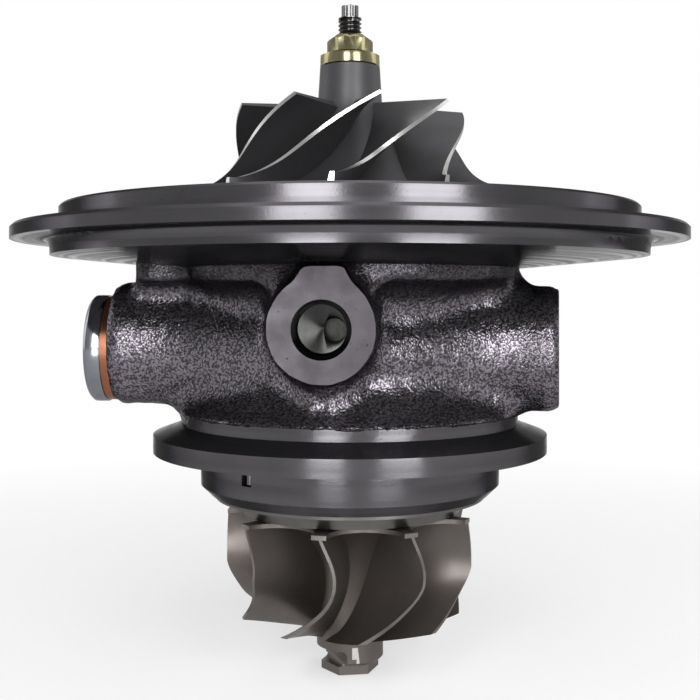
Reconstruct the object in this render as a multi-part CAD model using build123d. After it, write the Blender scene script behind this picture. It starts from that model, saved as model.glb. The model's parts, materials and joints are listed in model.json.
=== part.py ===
from build123d import *
import math
import os

# Turbocharger centre cartridge: a water-cooled bearing housing that carries a turbine wheel,
# a compressor wheel and their shaft on two floating bearings.
# Millimetres. The origin is on the rotor axis at the seating face of the turbine-side clamp
# flange, +Z points along the axis towards the compressor, and -Y is the oil inlet side.

# Turbine-side clamp flange and the pilot ring under it
flange_r = 65.6
flange_rim = 5.6
flange_cone = 3.4
neck_r = 56.2
neck_height = 4.0
turbine_pilot_r = 50.0
turbine_pilot_length = 11.0
pilot_nose_inset = 3.5
pilot_nose_length = 3.4
shield_recess_inset = 3.5
shield_recess_depth = 11.4

# Cast body between the two flanges
skirt_overhang = 1.3
skirt_height = 11.0
waist_r = 41.0
waist_flare_share = 0.22
collar_r = 56.4
collar_height = 5.0
collar_foot = 7.0
collar_fillet = 1.2
web_overhang = 13.1
web_half_width = 21.0
web_height = 4.6
web_corner = 6.0

# Compressor-side disc, from its top face down
disc_top_z = 79.6
cover_pilot_r = 95.3
cover_pilot_height = 6.6
cover_pilot_chamfer = 0.7
cover_pilot_fillet = 1.0
disc_r = 110.0
disc_rim = 4.3
disc_chamfer = 1.0
disc_step_inset = 12.0
disc_step_depth = 4.8
disc_step_fillet = 3.0
disc_dish = 3.7
wheel_recess_depth = 2.4
wheel_recess_clearance = 1.0
seal_plate_inset = 2.2

# Water port bosses: the plugged one along -X, the open one turned a little towards the oil inlet
water_axis_z = 33.5
open_boss_turn = 11.2
open_boss_reach = 69.5
open_boss_r = 20.6
open_boss_rise = 0.3
plug_boss_reach = 78.4
plug_boss_r = 20.6
plug_boss_rise = 1.3
boss_edge_round = 3.0
boss_draft = 0.4
boss_flare_x = 58.0
body_neck_x = 45.0
body_neck_half_width = 26.0
body_neck_half_height = 21.1
body_shoulder_x = 30.0
body_shoulder_half_width = 35.5
body_half_width = 46.0
body_half_height = 21.4
water_thread_r = 14.19
water_thread_depth = 22.0
water_passage_r = 11.0
water_passage_overlap = 1.0
water_chamfer = 1.0

# Water jacket: a horseshoe round the turbine-side bearing, open towards the oil drain
jacket_inner_r = 27.0
jacket_outer_r = 39.0
jacket_floor_z = 13.0
jacket_height = 12.0
jacket_round = 3.0
jacket_arc = 260.0

# Plug and sealing washer in the left water port
plug_head_r = 17.9
plug_head_height = 5.5
plug_head_chamfer = 1.2
plug_shank_length = 14.0
plug_socket_flats = 17.0
plug_socket_depth = 9.0
washer_inset = 0.5
washer_thickness = 2.5
washer_play = 0.6

# Oil inlet boss on the -Y side, with a cast tab above it
oil_port_x = -8.1
oil_port_z = 41.3
oil_face_reach = 62.0
oil_boss_r = 15.75
oil_boss_depth = 24.0
oil_boss_draft = 4.0
tab_width = 13.3
tab_centre_x = -7.6
tab_gap = 0.6
tab_fillet = 3.0
oil_thread_r = 7.19
oil_thread_depth = 16.0
oil_chamfer = 1.2
oil_passage_r = 3.4
oil_passage_shift_x = 3.6
oil_passage_shift_z = 1.8
oil_passage_length = 13.0
gallery_r = 2.6
gallery_offset = 23.0
feed_r = 1.7

# Oil drain pad on the +Y side
drain_face_reach = 62.0
drain_axis_z = 33.0
drain_bore_r = 11.5
drain_bore_end = 18.0
drain_pad_width = 70.0
drain_pad_height = 38.0
drain_pad_round = 14.0
drain_pad_depth = 30.0
drain_pad_draft = 5.0
drain_bolt_spacing = 52.0
drain_bolt_r = 3.4
drain_bolt_depth = 14.0

# Floating journal bearings and the shaft that runs in them
journal_r = 7.0
bearing_r = 10.5
bearing_length = 12.0
bearing_chamfer = 0.5
bearing_clearance = 0.05
turbine_bearing_z = 12.0
compressor_bearing_inset = 2.0
bearing_hole_r = 1.25
bearing_hole_count = 6
bearing_play = 0.2
circlip_thickness = 1.0
circlip_shaft_gap = 1.3
circlip_depth = 1.0
circlip_gap_angle = 50.0
journal_fillet = 1.0
shaft_waist_r = 6.4
shaft_waist_inset = 2.0

# Oil cavities inside the housing
oil_cavity_r = 22.0
oil_cavity_arc = 230.0
oil_cavity_wall = 3.0
slinger_cavity_r = 17.0
slinger_cavity_z = 4.0
slinger_cavity_height = 5.0
drain_slot_half_width = 8.0
drain_slot_outer_y = 26.0
drain_slot_inner_y = 8.0

# Turbine-end seal: hub on the shaft, ring groove and heat shield
seal_hub_r = 11.5
weld_rise = 2.4
seal_hub_clearance = 0.3
turbine_ring_width = 1.8
turbine_ring_depth = 2.1
ring_side_play = 0.1
ring_root_play = 0.4
ring_gap_angle = 4.0
shield_thickness = 1.2
shield_lip_inset = 1.3
shield_dish_inset = 4.0
shield_dish_slope = 2.0
shield_hole_clearance = 1.0
shield_wheel_gap = 1.0

# Thrust bearing, collar and seal parts at the compressor end
collar_disc_r = 12.5
collar_disc_thickness = 2.45
collar_step = 0.5
thrust_play = 0.05
thrust_plate_r = 27.0
thrust_plate_thickness = 4.5
thrust_cavity_r = 20.0
thrust_sleeve_r = 6.5
thrust_sleeve_clearance = 0.1
thrust_pad_groove = 1.6
thrust_notch_half_width = 9.0
thrust_notch_y = 17.0
dowel_r = 2.0
dowel_circle_r = 23.5
dowel_length = 7.5
dowel_seat_depth = 3.5
deflector_thickness = 1.0
deflector_clearance = 1.2
deflector_tongue_half_width = 7.0
deflector_tongue_y = 20.5
deflector_tongue_length = 11.0
fit_gap = 0.05
sleeve_disc_r = 13.0
sleeve_disc_thickness = 2.45
sleeve_r = 9.0
sleeve_clearance = 0.25
compressor_ring_inset = 4.5
compressor_ring_width = 1.6
compressor_ring_depth = 1.7
seal_plate_r = 40.0
seal_plate_thickness = 11.0
seal_plate_spigot_length = 2.0
seal_plate_cavity_r = 22.0
seal_plate_cavity_depth = 2.0
seal_plate_dish = 3.0
seal_plate_boss_r = 15.0
o_ring_section_r = 1.3
o_ring_groove_width = 3.4
o_ring_squeeze = 0.05
o_ring_rise = 6.0
seal_circlip_thickness = 1.6
seal_circlip_width = 3.2
seal_circlip_depth = 1.5
seal_circlip_gap_angle = 24.0
seal_circlip_lug_r = 3.0

# Compressor wheel
wheel_seat_rise = 1.5
wheel_pad_height = 1.3
exducer_r = 52.0
exducer_rim = 2.2
exducer_height = 7.1
inducer_r = 38.4
inducer_height = 35.4
inducer_top_room = 5.0
hub_nose_r = 10.15
hub_nose_height = 50.3
hub_neck_r = 11.0
hub_neck_height = 36.3
hub_waist_out = 3.7
hub_waist_drop = 9.1
hub_flare_out = 13.8
hub_flare_rise = 11.0
hub_foot_inset = 10.0
hub_foot_rise = 1.8
tip_straight = 10.2
tip_flare_out = 2.0
tip_flare_rise = 6.2
tip_foot_out = 6.6
tip_foot_rise = 1.8
compressor_blades = 9
compressor_stations = 9
compressor_lead_angle = 14.2
compressor_tip_wrap = 60.0
compressor_root_wrap = 61.0
compressor_tip_power = 1.5
compressor_root_power = 2.2
compressor_tip_thickness = 1.1
compressor_root_thickness = 3.2
compressor_edge_inset = 0.15
compressor_root_overrun = 1.5
compressor_tip_overrun = 1.0

# Turbine wheel
turbine_r = 41.4
turbine_back_gap = 6.8
turbine_back_thickness = 1.4
turbine_edge_depth = 16.6
turbine_exit_r = 36.7
turbine_exit_depth = 34.1
turbine_exit_root_r = 10.0
turbine_exit_root_depth = 41.8
turbine_root_overrun = 1.0
turbine_tip_swell = 1.7
turbine_tip_drop = 8.2
turbine_inlet_lean = 0.2
turbine_exit_lean = 0.05
turbine_blades = 9
turbine_stations = 9
turbine_lead_angle = -13.2
turbine_sweep_start = 1.3
turbine_lean = 27.0
turbine_wrap = 48.4
turbine_wrap_power = 2.7
turbine_tip_thickness = 0.9
turbine_root_thickness = 3.4
turbine_root_sink = 3.0
scallop_min_r = 30.0
scallop_land = 4.7
scallop_step = 1.0
turbine_belly_r = 16.5
turbine_belly_depth = 9.0
turbine_throat_out = 0.5
turbine_throat_depth = 22.0
turbine_nose_start = 3.0
turbine_nose_r = 11.2
turbine_nose_depth = 49.8
turbine_nose_chamfer = 1.2
turbine_hex_r = 9.7
turbine_hex_length = 3.3
turbine_hex_turn = 8.0
relief_angle = -68.0
relief_depth = 6.2
relief_height = 5.6
relief_shoulder = 0.6
relief_round = 2.0

# Shaft end and its nut
stub_r = 4.5
stub_inset = 2.6
thread_r = 3.95
thread_overhang = 6.0
tip_r = 2.95
tip_length = 4.1
tip_flutes = 6
tip_flute_r = 0.75
nut_flange_r = 10.15
nut_flange_height = 3.8
nut_cone_height = 1.0
nut_points_r = 7.75
nut_points_height = 6.0
nut_edge = 0.5
nut_crown_inset = 2.2
nut_crown_height = 2.0

# Locating pin in a groove of the turbine pilot ring
pin_angle = -38.8
pin_r = 1.2
pin_cover = 0.6
pin_groove_width = 4.0
pin_groove_length = 6.7
pin_clearance = 0.5
pin_hole_depth = 4.0

# Heights and radii that follow from the sizes above
flange_top_z = flange_rim + flange_cone
skirt_r = neck_r + skirt_overhang
skirt_z = flange_top_z + neck_height
pilot_nose_r = turbine_pilot_r - pilot_nose_inset
pilot_end_z = -(turbine_pilot_length + pilot_nose_length)
shield_recess_r = pilot_nose_r - shield_recess_inset
shield_recess_z = pilot_end_z + shield_recess_depth
shield_lip_r = pilot_nose_r - shield_lip_inset
shield_dish_r = shield_recess_r - shield_dish_inset
shield_dish_bottom_r = shield_dish_r - shield_dish_slope
disc_step_r = disc_r - disc_step_inset
web_reach = collar_r + web_overhang
rim_top_z = disc_top_z - cover_pilot_height
rim_bottom_z = rim_top_z - disc_rim
step_bottom_z = rim_bottom_z - disc_step_depth
underside_z = step_bottom_z - disc_dish
collar_z = underside_z - collar_height
tab_top_z = underside_z - tab_gap
water_passage_end = jacket_inner_r + water_passage_overlap
washer_r = plug_head_r - washer_inset
recess_floor_z = disc_top_z - wheel_recess_depth
seal_plate_top_z = recess_floor_z - seal_plate_inset
seal_plate_z = seal_plate_top_z - seal_plate_thickness
spigot_z = seal_plate_z - seal_plate_spigot_length
thrust_plate_top_z = spigot_z - deflector_thickness
thrust_plate_z = thrust_plate_top_z - thrust_plate_thickness
sleeve_z = thrust_plate_top_z + thrust_play
shoulder_z = thrust_plate_z - thrust_play - collar_disc_thickness
carrier_top_z = shoulder_z - collar_step
bearing_bore_r = bearing_r + bearing_clearance
compressor_bearing_z = carrier_top_z - compressor_bearing_inset - bearing_length
circlip_inner_r = journal_r + circlip_shaft_gap
seal_hub_bottom_z = pilot_end_z + weld_rise
turbine_ring_z = (shield_recess_z + slinger_cavity_z) / 2
compressor_ring_z = seal_plate_top_z - compressor_ring_inset
deflector_hole_r = sleeve_disc_r + deflector_clearance
o_ring_z = seal_plate_z + o_ring_rise
seal_circlip_inner_r = seal_plate_r - seal_circlip_width
wheel_seat_z = seal_plate_top_z + wheel_seat_rise
wheel_back_z = wheel_seat_z + wheel_pad_height
inducer_z = wheel_back_z + inducer_height
hub_neck_z = wheel_back_z + hub_neck_height
hub_nose_z = wheel_back_z + hub_nose_height
nut_top_z = hub_nose_z + nut_flange_height + nut_cone_height + nut_points_height
stub_top_z = hub_nose_z - stub_inset
thread_top_z = nut_top_z + thread_overhang
tip_top_z = thread_top_z + tip_length
turbine_back_z = pilot_end_z - turbine_back_gap
turbine_edge_z = turbine_back_z - turbine_edge_depth
turbine_exit_z = turbine_back_z - turbine_exit_depth
turbine_exit_root_z = turbine_back_z - turbine_exit_root_depth
turbine_nose_shoulder_z = turbine_back_z - turbine_nose_depth
turbine_sweep_start_z = turbine_back_z - turbine_sweep_start
seal_bore_r = seal_hub_r + seal_hub_clearance
sleeve_bore_r = sleeve_r + sleeve_clearance
plate_bore_r = seal_plate_r + fit_gap
turbine_root_z = turbine_exit_root_z - turbine_root_overrun


def turned(*corners):
    """Solid of revolution about Z. A corner is (radius, height) or (radius, height, fillet)."""
    points = [(corner[0], corner[1]) for corner in corners]
    fillets = [corner[2] if len(corner) > 2 else 0 for corner in corners]
    outline = FilletPolyline(*points, radius=fillets, close=True)
    return revolve(Plane.XZ * make_face(outline), Axis.Z)


def ring(outer_r, inner_r, bottom, top):
    """Plain ring about Z."""
    return turned((inner_r, bottom), (outer_r, bottom), (outer_r, top), (inner_r, top))


def rod(radius, bottom, top):
    """Plain cylinder about Z."""
    height = top - bottom
    return Pos(0, 0, bottom) * Cylinder(radius, height, align=(Align.CENTER, Align.CENTER, Align.MIN))


def drill(start, end, radius):
    """Cylinder that runs from one point to another."""
    path = Vector(end) - Vector(start)
    plane = Plane(origin=start, z_dir=path)
    return plane * rod(radius, 0, path.length)


def block(low, high):
    """Box between two opposite corners."""
    size = [high[i] - low[i] for i in range(3)]
    return Pos(*low) * Box(*size, align=(Align.MIN, Align.MIN, Align.MIN))


def sector(outer_r, bottom, top, middle_angle, width_angle):
    """Wedge about Z, wide enough to cut a gap in a ring."""
    half = math.radians(width_angle / 2)
    reach = outer_r / math.cos(half)
    wedge = Polyline((0, 0), (reach, -reach * math.tan(half)), (reach, reach * math.tan(half)), close=True)
    return Rot(0, 0, middle_angle) * Pos(0, 0, bottom) * extrude(make_face(wedge), top - bottom)


def snap_ring(outer_r, inner_r, bottom, top, gap_angle, middle_angle=90):
    """Ring with a gap between its ends."""
    return ring(outer_r, inner_r, bottom, top) - sector(outer_r, bottom, top, middle_angle, gap_angle)


def spun(piece, count):
    """Copies of a piece, evenly spaced about Z."""
    return [Rot(0, 0, 360 * i / count) * piece for i in range(count)]


def circlip_heights():
    """Lower faces of the four bearing circlips."""
    heights = []
    for bearing_z in (turbine_bearing_z, compressor_bearing_z):
        heights.append(bearing_z - bearing_play - circlip_thickness)
        heights.append(bearing_z + bearing_length + bearing_play)
    return heights


def cast_core():
    """Waisted cast body that flares into the skirt below and up to the disc's collar."""
    waist_z = (skirt_z + collar_z) / 2
    side = Spline(
        (skirt_r, skirt_z),
        (waist_r + waist_flare_share * (skirt_r - waist_r), skirt_z + skirt_height),
        (waist_r, waist_z),
        (waist_r + waist_flare_share * (collar_r - waist_r), collar_z - collar_foot),
        (collar_r, collar_z),
    )
    rest = Polyline((collar_r, collar_z), (0, collar_z), (0, skirt_z), (skirt_r, skirt_z))
    return revolve(Plane.XZ * make_face(side + rest), Axis.Z)


def clamp_flange():
    """Turbine-side V flange with the machined neck above it and the pilot ring below it."""
    return turned(
        (0, pilot_end_z),
        (pilot_nose_r, pilot_end_z),
        (turbine_pilot_r, -turbine_pilot_length),
        (turbine_pilot_r, 0),
        (flange_r, 0),
        (flange_r, flange_rim),
        (neck_r, flange_top_z),
        (neck_r, skirt_z),
        (0, skirt_z),
    )


def compressor_disc():
    """Large disc that closes the back of the compressor, with the cast collar under it."""
    return turned(
        (0, collar_z),
        (collar_r, collar_z),
        (collar_r, underside_z, collar_fillet),
        (disc_step_r, step_bottom_z),
        (disc_step_r, rim_bottom_z, disc_step_fillet),
        (disc_r, rim_bottom_z),
        (disc_r, rim_top_z - disc_chamfer),
        (disc_r - disc_chamfer, rim_top_z),
        (cover_pilot_r, rim_top_z, cover_pilot_fillet),
        (cover_pilot_r, disc_top_z - cover_pilot_chamfer),
        (cover_pilot_r - cover_pilot_chamfer, disc_top_z),
        (0, disc_top_z),
    )


def port_body():
    """Body that runs between the water ports and swells round the bearings."""
    stations = (
        (-plug_boss_reach, plug_boss_r, plug_boss_r),
        (-boss_flare_x, plug_boss_r + boss_draft, plug_boss_r),
        (-body_neck_x, body_neck_half_width, body_neck_half_height),
        (-body_shoulder_x, body_shoulder_half_width, body_half_height),
        (0, body_half_width, body_half_height),
        (body_shoulder_x, body_shoulder_half_width, body_half_height),
        (body_neck_x, body_neck_half_width, body_neck_half_height),
        (boss_flare_x, open_boss_r + boss_draft, open_boss_r),
        (open_boss_reach, open_boss_r, open_boss_r),
    )
    sections = []
    for x, half_width, half_height in stations:
        boss_rise = open_boss_rise if x > 0 else plug_boss_rise
        rise = boss_rise * min(1, abs(x) / boss_flare_x) ** 2
        plane = Plane((x, 0, water_axis_z + rise), x_dir=(0, 1, 0), z_dir=(1, 0, 0))
        turn = -open_boss_turn if x > 0 else 0
        sections.append(Rot(0, 0, turn) * (plane * Ellipse(half_width, half_height)))
    body = loft(sections)
    return fillet(body.faces().filter_by(GeomType.PLANE).edges(), boss_edge_round)


def oil_inlet_boss():
    """Drafted boss with a flat face towards -Y and a tab that runs up to the collar."""
    face_plane = Plane((0, -oil_face_reach, 0), x_dir=(1, 0, 0), z_dir=(0, -1, 0))
    tab_height = tab_top_z - oil_port_z
    outline = Pos(oil_port_x, oil_port_z) * Circle(oil_boss_r)
    outline += Pos(tab_centre_x, oil_port_z + tab_height / 2) * Rectangle(tab_width, tab_height)
    corners = outline.vertices().filter_by_position(Axis.Y, oil_port_z + 1, tab_top_z - 1)
    outline = fillet(corners, tab_fillet)
    return extrude(face_plane * outline, -oil_boss_depth, taper=-oil_boss_draft)


def drain_pad():
    """Drafted rectangular pad for the oil drain flange, facing +Y."""
    face_plane = Plane((0, drain_face_reach, drain_axis_z), x_dir=(-1, 0, 0), z_dir=(0, 1, 0))
    outline = face_plane * RectangleRounded(drain_pad_width, drain_pad_height, drain_pad_round)
    return extrude(outline, -drain_pad_depth, taper=-drain_pad_draft)


def side_web():
    """Flat lug of the collar on the plugged side."""
    plan = Pos(-web_reach / 2, 0) * RectangleRounded(web_reach, 2 * web_half_width, web_corner)
    return Pos(0, 0, underside_z - web_height) * extrude(plan, web_height + disc_dish / 2)


def water_cuts():
    """Both water ports and the jacket between them."""
    cuts = []
    for turn, reach in ((-open_boss_turn, open_boss_reach), (180, plug_boss_reach)):
        port = turned(
            (0, 0),
            (water_thread_r + water_chamfer, 0),
            (water_thread_r, -water_chamfer),
            (water_thread_r, -water_thread_depth),
            (water_passage_r, water_passage_r - water_thread_r - water_thread_depth),
            (water_passage_r, water_passage_end - reach),
            (0, water_passage_end - reach),
        )
        cuts.append(Rot(0, 0, turn) * Pos(reach, 0, water_axis_z) * Rot(0, 90, 0) * port)
    top = jacket_floor_z + jacket_height
    outline = FilletPolyline(
        (jacket_inner_r, jacket_floor_z),
        (jacket_outer_r, jacket_floor_z),
        (jacket_outer_r, top),
        (jacket_inner_r, top),
        radius=jacket_round,
        close=True,
    )
    jacket = revolve(Plane.XZ * make_face(outline), Axis.Z, jacket_arc)
    cuts.append(Rot(0, 0, -90 - jacket_arc / 2) * jacket)
    return cuts


def rotor_cuts():
    """Stepped centre bore: seals, bearings, thrust parts, seal plate and wheel recess."""
    nose = -pilot_end_z
    cuts = [
        rod(shield_recess_r, -nose, shield_recess_z),
        rod(seal_bore_r, -nose, slinger_cavity_z),
        rod(slinger_cavity_r, slinger_cavity_z, slinger_cavity_z + slinger_cavity_height),
        rod(bearing_bore_r, slinger_cavity_z, carrier_top_z),
        rod(thrust_cavity_r, carrier_top_z, thrust_plate_z),
        rod(thrust_plate_r + fit_gap, thrust_plate_z, seal_plate_z),
        rod(plate_bore_r, seal_plate_z, recess_floor_z),
        rod(exducer_r + wheel_recess_clearance, recess_floor_z, disc_top_z),
    ]
    for height in circlip_heights():
        cuts.append(rod(bearing_bore_r + circlip_depth, height, height + circlip_thickness))
    groove_r = plate_bore_r + seal_circlip_depth
    cuts.append(rod(groove_r, seal_plate_top_z, seal_plate_top_z + seal_circlip_thickness))
    return cuts


def oil_cuts():
    """Oil inlet, its gallery and feeds, the cavities that catch the oil, and the drain."""
    floor_y = oil_thread_depth - oil_face_reach
    port = turned(
        (0, 0),
        (oil_thread_r + oil_chamfer, 0),
        (oil_thread_r, -oil_chamfer),
        (oil_thread_r, -oil_thread_depth),
        (0, -oil_thread_depth),
    )
    gallery_low = turbine_bearing_z + bearing_length / 2
    gallery_end = Vector(0, -gallery_offset, oil_port_z + 2 * oil_passage_shift_z)
    cavity_low = turbine_bearing_z + bearing_length + bearing_play + circlip_thickness + oil_cavity_wall
    cavity_high = compressor_bearing_z - bearing_play - circlip_thickness - oil_cavity_wall
    cavity_face = Pos(oil_cavity_r / 2, (cavity_low + cavity_high) / 2) * Rectangle(
        oil_cavity_r, cavity_high - cavity_low
    )
    cavity = revolve(Plane.XZ * cavity_face, Axis.Z, oil_cavity_arc)
    passage_start = Vector(oil_port_x + oil_passage_shift_x, floor_y - 1, oil_port_z + oil_passage_shift_z)
    passage_end = passage_start + (gallery_end - passage_start).normalized() * oil_passage_length
    cuts = [
        Pos(oil_port_x, -oil_face_reach, oil_port_z) * Rot(90, 0, 0) * port,
        drill(passage_start, passage_end, oil_passage_r),
        drill(passage_end, gallery_end, feed_r),
        drill((0, -gallery_offset, gallery_low - feed_r), (0, -gallery_offset, thrust_plate_z), gallery_r),
        Rot(0, 0, 90 - oil_cavity_arc / 2) * cavity,
        drill((0, drain_face_reach, drain_axis_z), (0, drain_bore_end, drain_axis_z), drain_bore_r),
    ]
    for bearing_z in (turbine_bearing_z, compressor_bearing_z):
        height = bearing_z + bearing_length / 2
        cuts.append(drill((0, -gallery_offset, height), (0, 0, height), feed_r))
    for low, high in ((slinger_cavity_z, cavity_low + 1), (cavity_high - 1, thrust_plate_z)):
        near = (-drain_slot_half_width, drain_slot_inner_y, low)
        cuts.append(block(near, (drain_slot_half_width, drain_slot_outer_y, high)))
    for x in (-drain_bolt_spacing / 2, drain_bolt_spacing / 2):
        mouth = (x, drain_face_reach, drain_axis_z)
        cuts.append(drill(mouth, (x, drain_face_reach - drain_bolt_depth, drain_axis_z), drain_bolt_r))
    return cuts


def pin_place():
    """Rotation about Z that brings the +X direction to the locating pin."""
    return Rot(0, 0, pin_angle - 90)


def pin_centre():
    """Radius of the locating pin's own axis, inside the pilot's outer surface."""
    return turbine_pilot_r - pin_cover - pin_r


def pin_cuts():
    """Groove in the pilot ring and the hole above it for the locating pin."""
    half = pin_groove_width / 2
    groove_inner = pin_centre() - pin_r - pin_clearance
    groove = block((groove_inner, -half, -pin_groove_length), (turbine_pilot_r + 1, half, 0))
    hole = Pos(pin_centre(), 0, 0) * rod(pin_r, 0, pin_hole_depth)
    return [pin_place() * groove, pin_place() * hole]


def dowel_places():
    """Positions of the two dowels, on the X axis."""
    return [Pos(x, 0, 0) for x in (-dowel_circle_r, dowel_circle_r)]


def bearing_housing():
    """The main casting with every bore, cavity and port."""
    rest = [port_body(), oil_inlet_boss(), drain_pad(), side_web(), clamp_flange(), compressor_disc()]
    body = cast_core() + rest
    for cut in rotor_cuts() + water_cuts() + oil_cuts() + pin_cuts():
        body -= cut
    for place in dowel_places():
        body -= place * rod(dowel_r, thrust_plate_z - dowel_seat_depth, thrust_plate_z)
    return body


def locating_pin():
    """Dowel that stands in the pilot groove and is pressed up into the flange."""
    bottom = pin_clearance - pin_groove_length
    return pin_place() * Pos(pin_centre(), 0, 0) * rod(pin_r, bottom, pin_hole_depth)


def water_plug():
    """Hexagon socket plug with a round head, facing -X."""
    washer_face = washer_thickness
    head_face = washer_thickness + plug_head_height
    body = turned(
        (0, -plug_shank_length),
        (water_thread_r - water_chamfer, -plug_shank_length),
        (water_thread_r, water_chamfer - plug_shank_length),
        (water_thread_r, washer_face),
        (plug_head_r, washer_face),
        (plug_head_r, head_face - plug_head_chamfer),
        (plug_head_r - plug_head_chamfer, head_face),
        (0, head_face),
    )
    socket = RegularPolygon(plug_socket_flats / 2, 6, major_radius=False)
    body -= Pos(0, 0, head_face - plug_socket_depth) * extrude(socket, plug_socket_depth)
    return Pos(-plug_boss_reach, 0, water_axis_z) * Rot(0, -90, 0) * body


def plug_washer():
    """Flat sealing washer between the plug head and the boss."""
    washer = ring(washer_r, water_thread_r + washer_play, 0, washer_thickness)
    return Pos(-plug_boss_reach, 0, water_axis_z) * Rot(0, -90, 0) * washer


def heat_shield():
    """Dished sheet between the turbine wheel and the housing, seated on the pilot nose."""
    hole_r = seal_hub_r + shield_hole_clearance
    dish_z = turbine_back_z + shield_wheel_gap
    lip_z = pilot_end_z - shield_thickness
    slope = shield_thickness
    return turned(
        (hole_r, dish_z),
        (shield_dish_bottom_r, dish_z),
        (shield_dish_r, lip_z),
        (shield_lip_r, lip_z),
        (shield_lip_r, pilot_end_z),
        (shield_dish_r - slope, pilot_end_z),
        (shield_dish_bottom_r - slope, dish_z + shield_thickness),
        (hole_r, dish_z + shield_thickness),
    )


def journal_bearing(bottom):
    """Full-floating bush with oil holes round its middle."""
    inner_r = journal_r + bearing_clearance
    top = bottom + bearing_length
    bush = turned(
        (inner_r, bottom),
        (bearing_r - bearing_chamfer, bottom),
        (bearing_r, bottom + bearing_chamfer),
        (bearing_r, top - bearing_chamfer),
        (bearing_r - bearing_chamfer, top),
        (inner_r, top),
    )
    middle = (bottom + top) / 2
    hole = drill((journal_r / 2, 0, middle), (bearing_r + 1, 0, middle), bearing_hole_r)
    for cutter in spun(hole, bearing_hole_count):
        bush -= cutter
    return bush


def bearing_circlips():
    """The four snap rings that keep the floating bearings in place."""
    outer_r = bearing_bore_r + circlip_depth
    rings = []
    for height in circlip_heights():
        top = height + circlip_thickness
        rings.append(snap_ring(outer_r, circlip_inner_r, height, top, circlip_gap_angle))
    return Compound(rings)


def thrust_bearing():
    """Fixed thrust plate with taper-land grooves, an oil feed, dowel holes and a drain notch."""
    bore_r = thrust_sleeve_r + thrust_sleeve_clearance
    plate = ring(thrust_plate_r, bore_r, thrust_plate_z, thrust_plate_top_z)
    far = thrust_plate_r + 1
    half = thrust_notch_half_width
    plate -= block((-half, thrust_notch_y, thrust_plate_z), (half, far, thrust_plate_top_z))
    for place in dowel_places():
        plate -= place * rod(dowel_r, thrust_plate_z, thrust_plate_top_z)
    middle = (thrust_plate_z + thrust_plate_top_z) / 2
    plate -= drill((0, -gallery_offset, middle), (0, 0, middle), thrust_pad_groove / 2)
    plate -= Pos(0, -gallery_offset, 0) * rod(thrust_pad_groove / 2, thrust_plate_z, middle)
    groove_half = thrust_pad_groove / 2
    depth = thrust_pad_groove / 4
    for face_z in (thrust_plate_z, thrust_plate_top_z - depth):
        groove = block((0, -groove_half, face_z), (collar_disc_r, groove_half, face_z + depth))
        for cutter in spun(groove, 3):
            plate -= cutter
    return plate


def thrust_bearing_dowels():
    """Two dowels that stop the thrust plate from turning."""
    bottom = thrust_plate_z - dowel_seat_depth
    pin = rod(dowel_r, bottom, bottom + dowel_length)
    return Compound([place * pin for place in dowel_places()])


def oil_deflector():
    """Sheet washer whose tongue leads thrown oil down to the drain."""
    sheet = ring(thrust_plate_r, deflector_hole_r, thrust_plate_top_z, spigot_z)
    half = deflector_tongue_half_width
    tongue_low = spigot_z - deflector_tongue_length
    near = (-half, deflector_tongue_y, tongue_low)
    return sheet + block(near, (half, deflector_tongue_y + deflector_thickness, spigot_z))


def seal_plate():
    """Insert that closes the oil space behind the compressor wheel."""
    groove_low = o_ring_z - o_ring_groove_width / 2
    groove_high = o_ring_z + o_ring_groove_width / 2
    groove_r = seal_plate_r - 2 * o_ring_section_r
    cavity_z = seal_plate_z + seal_plate_cavity_depth
    dish_z = seal_plate_top_z - seal_plate_dish
    rim_r = seal_circlip_inner_r - seal_circlip_lug_r
    return turned(
        (sleeve_bore_r, cavity_z),
        (seal_plate_cavity_r, cavity_z),
        (seal_plate_cavity_r, spigot_z),
        (thrust_plate_r, spigot_z),
        (thrust_plate_r, seal_plate_z),
        (seal_plate_r, seal_plate_z),
        (seal_plate_r, groove_low),
        (groove_r, groove_low),
        (groove_r, groove_high),
        (seal_plate_r, groove_high),
        (seal_plate_r, seal_plate_top_z),
        (rim_r, seal_plate_top_z),
        (rim_r - seal_plate_dish, dish_z),
        (seal_plate_boss_r + seal_plate_dish, dish_z),
        (seal_plate_boss_r, seal_plate_top_z),
        (sleeve_bore_r, seal_plate_top_z),
    )


def seal_plate_o_ring():
    """O-ring in the seal plate's groove."""
    centre_r = plate_bore_r - o_ring_squeeze - o_ring_section_r
    section = Pos(centre_r, o_ring_z) * Circle(o_ring_section_r)
    return revolve(Plane.XZ * section, Axis.Z)


def seal_plate_circlip():
    """Internal circlip above the seal plate, with an eyed lug at each end."""
    top = seal_plate_top_z + seal_circlip_thickness
    outer_r = plate_bore_r + seal_circlip_depth
    clip = snap_ring(outer_r, seal_circlip_inner_r, seal_plate_top_z, top, seal_circlip_gap_angle)
    for side in (-1, 1):
        turn = 90 + side * (seal_circlip_gap_angle / 2 + math.degrees(seal_circlip_lug_r / outer_r))
        place = Rot(0, 0, turn) * Pos(seal_circlip_inner_r + 1, 0, 0)
        clip += place * rod(seal_circlip_lug_r, seal_plate_top_z, top)
        clip -= place * rod(seal_circlip_lug_r / 2, seal_plate_top_z, top)
    return clip


def piston_ring(bore_r, groove_floor_r, middle, width):
    """Split seal ring that grips its bore and runs clear of the groove."""
    inner_r = groove_floor_r + ring_root_play
    return snap_ring(bore_r, inner_r, middle - width / 2, middle + width / 2, ring_gap_angle)


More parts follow.
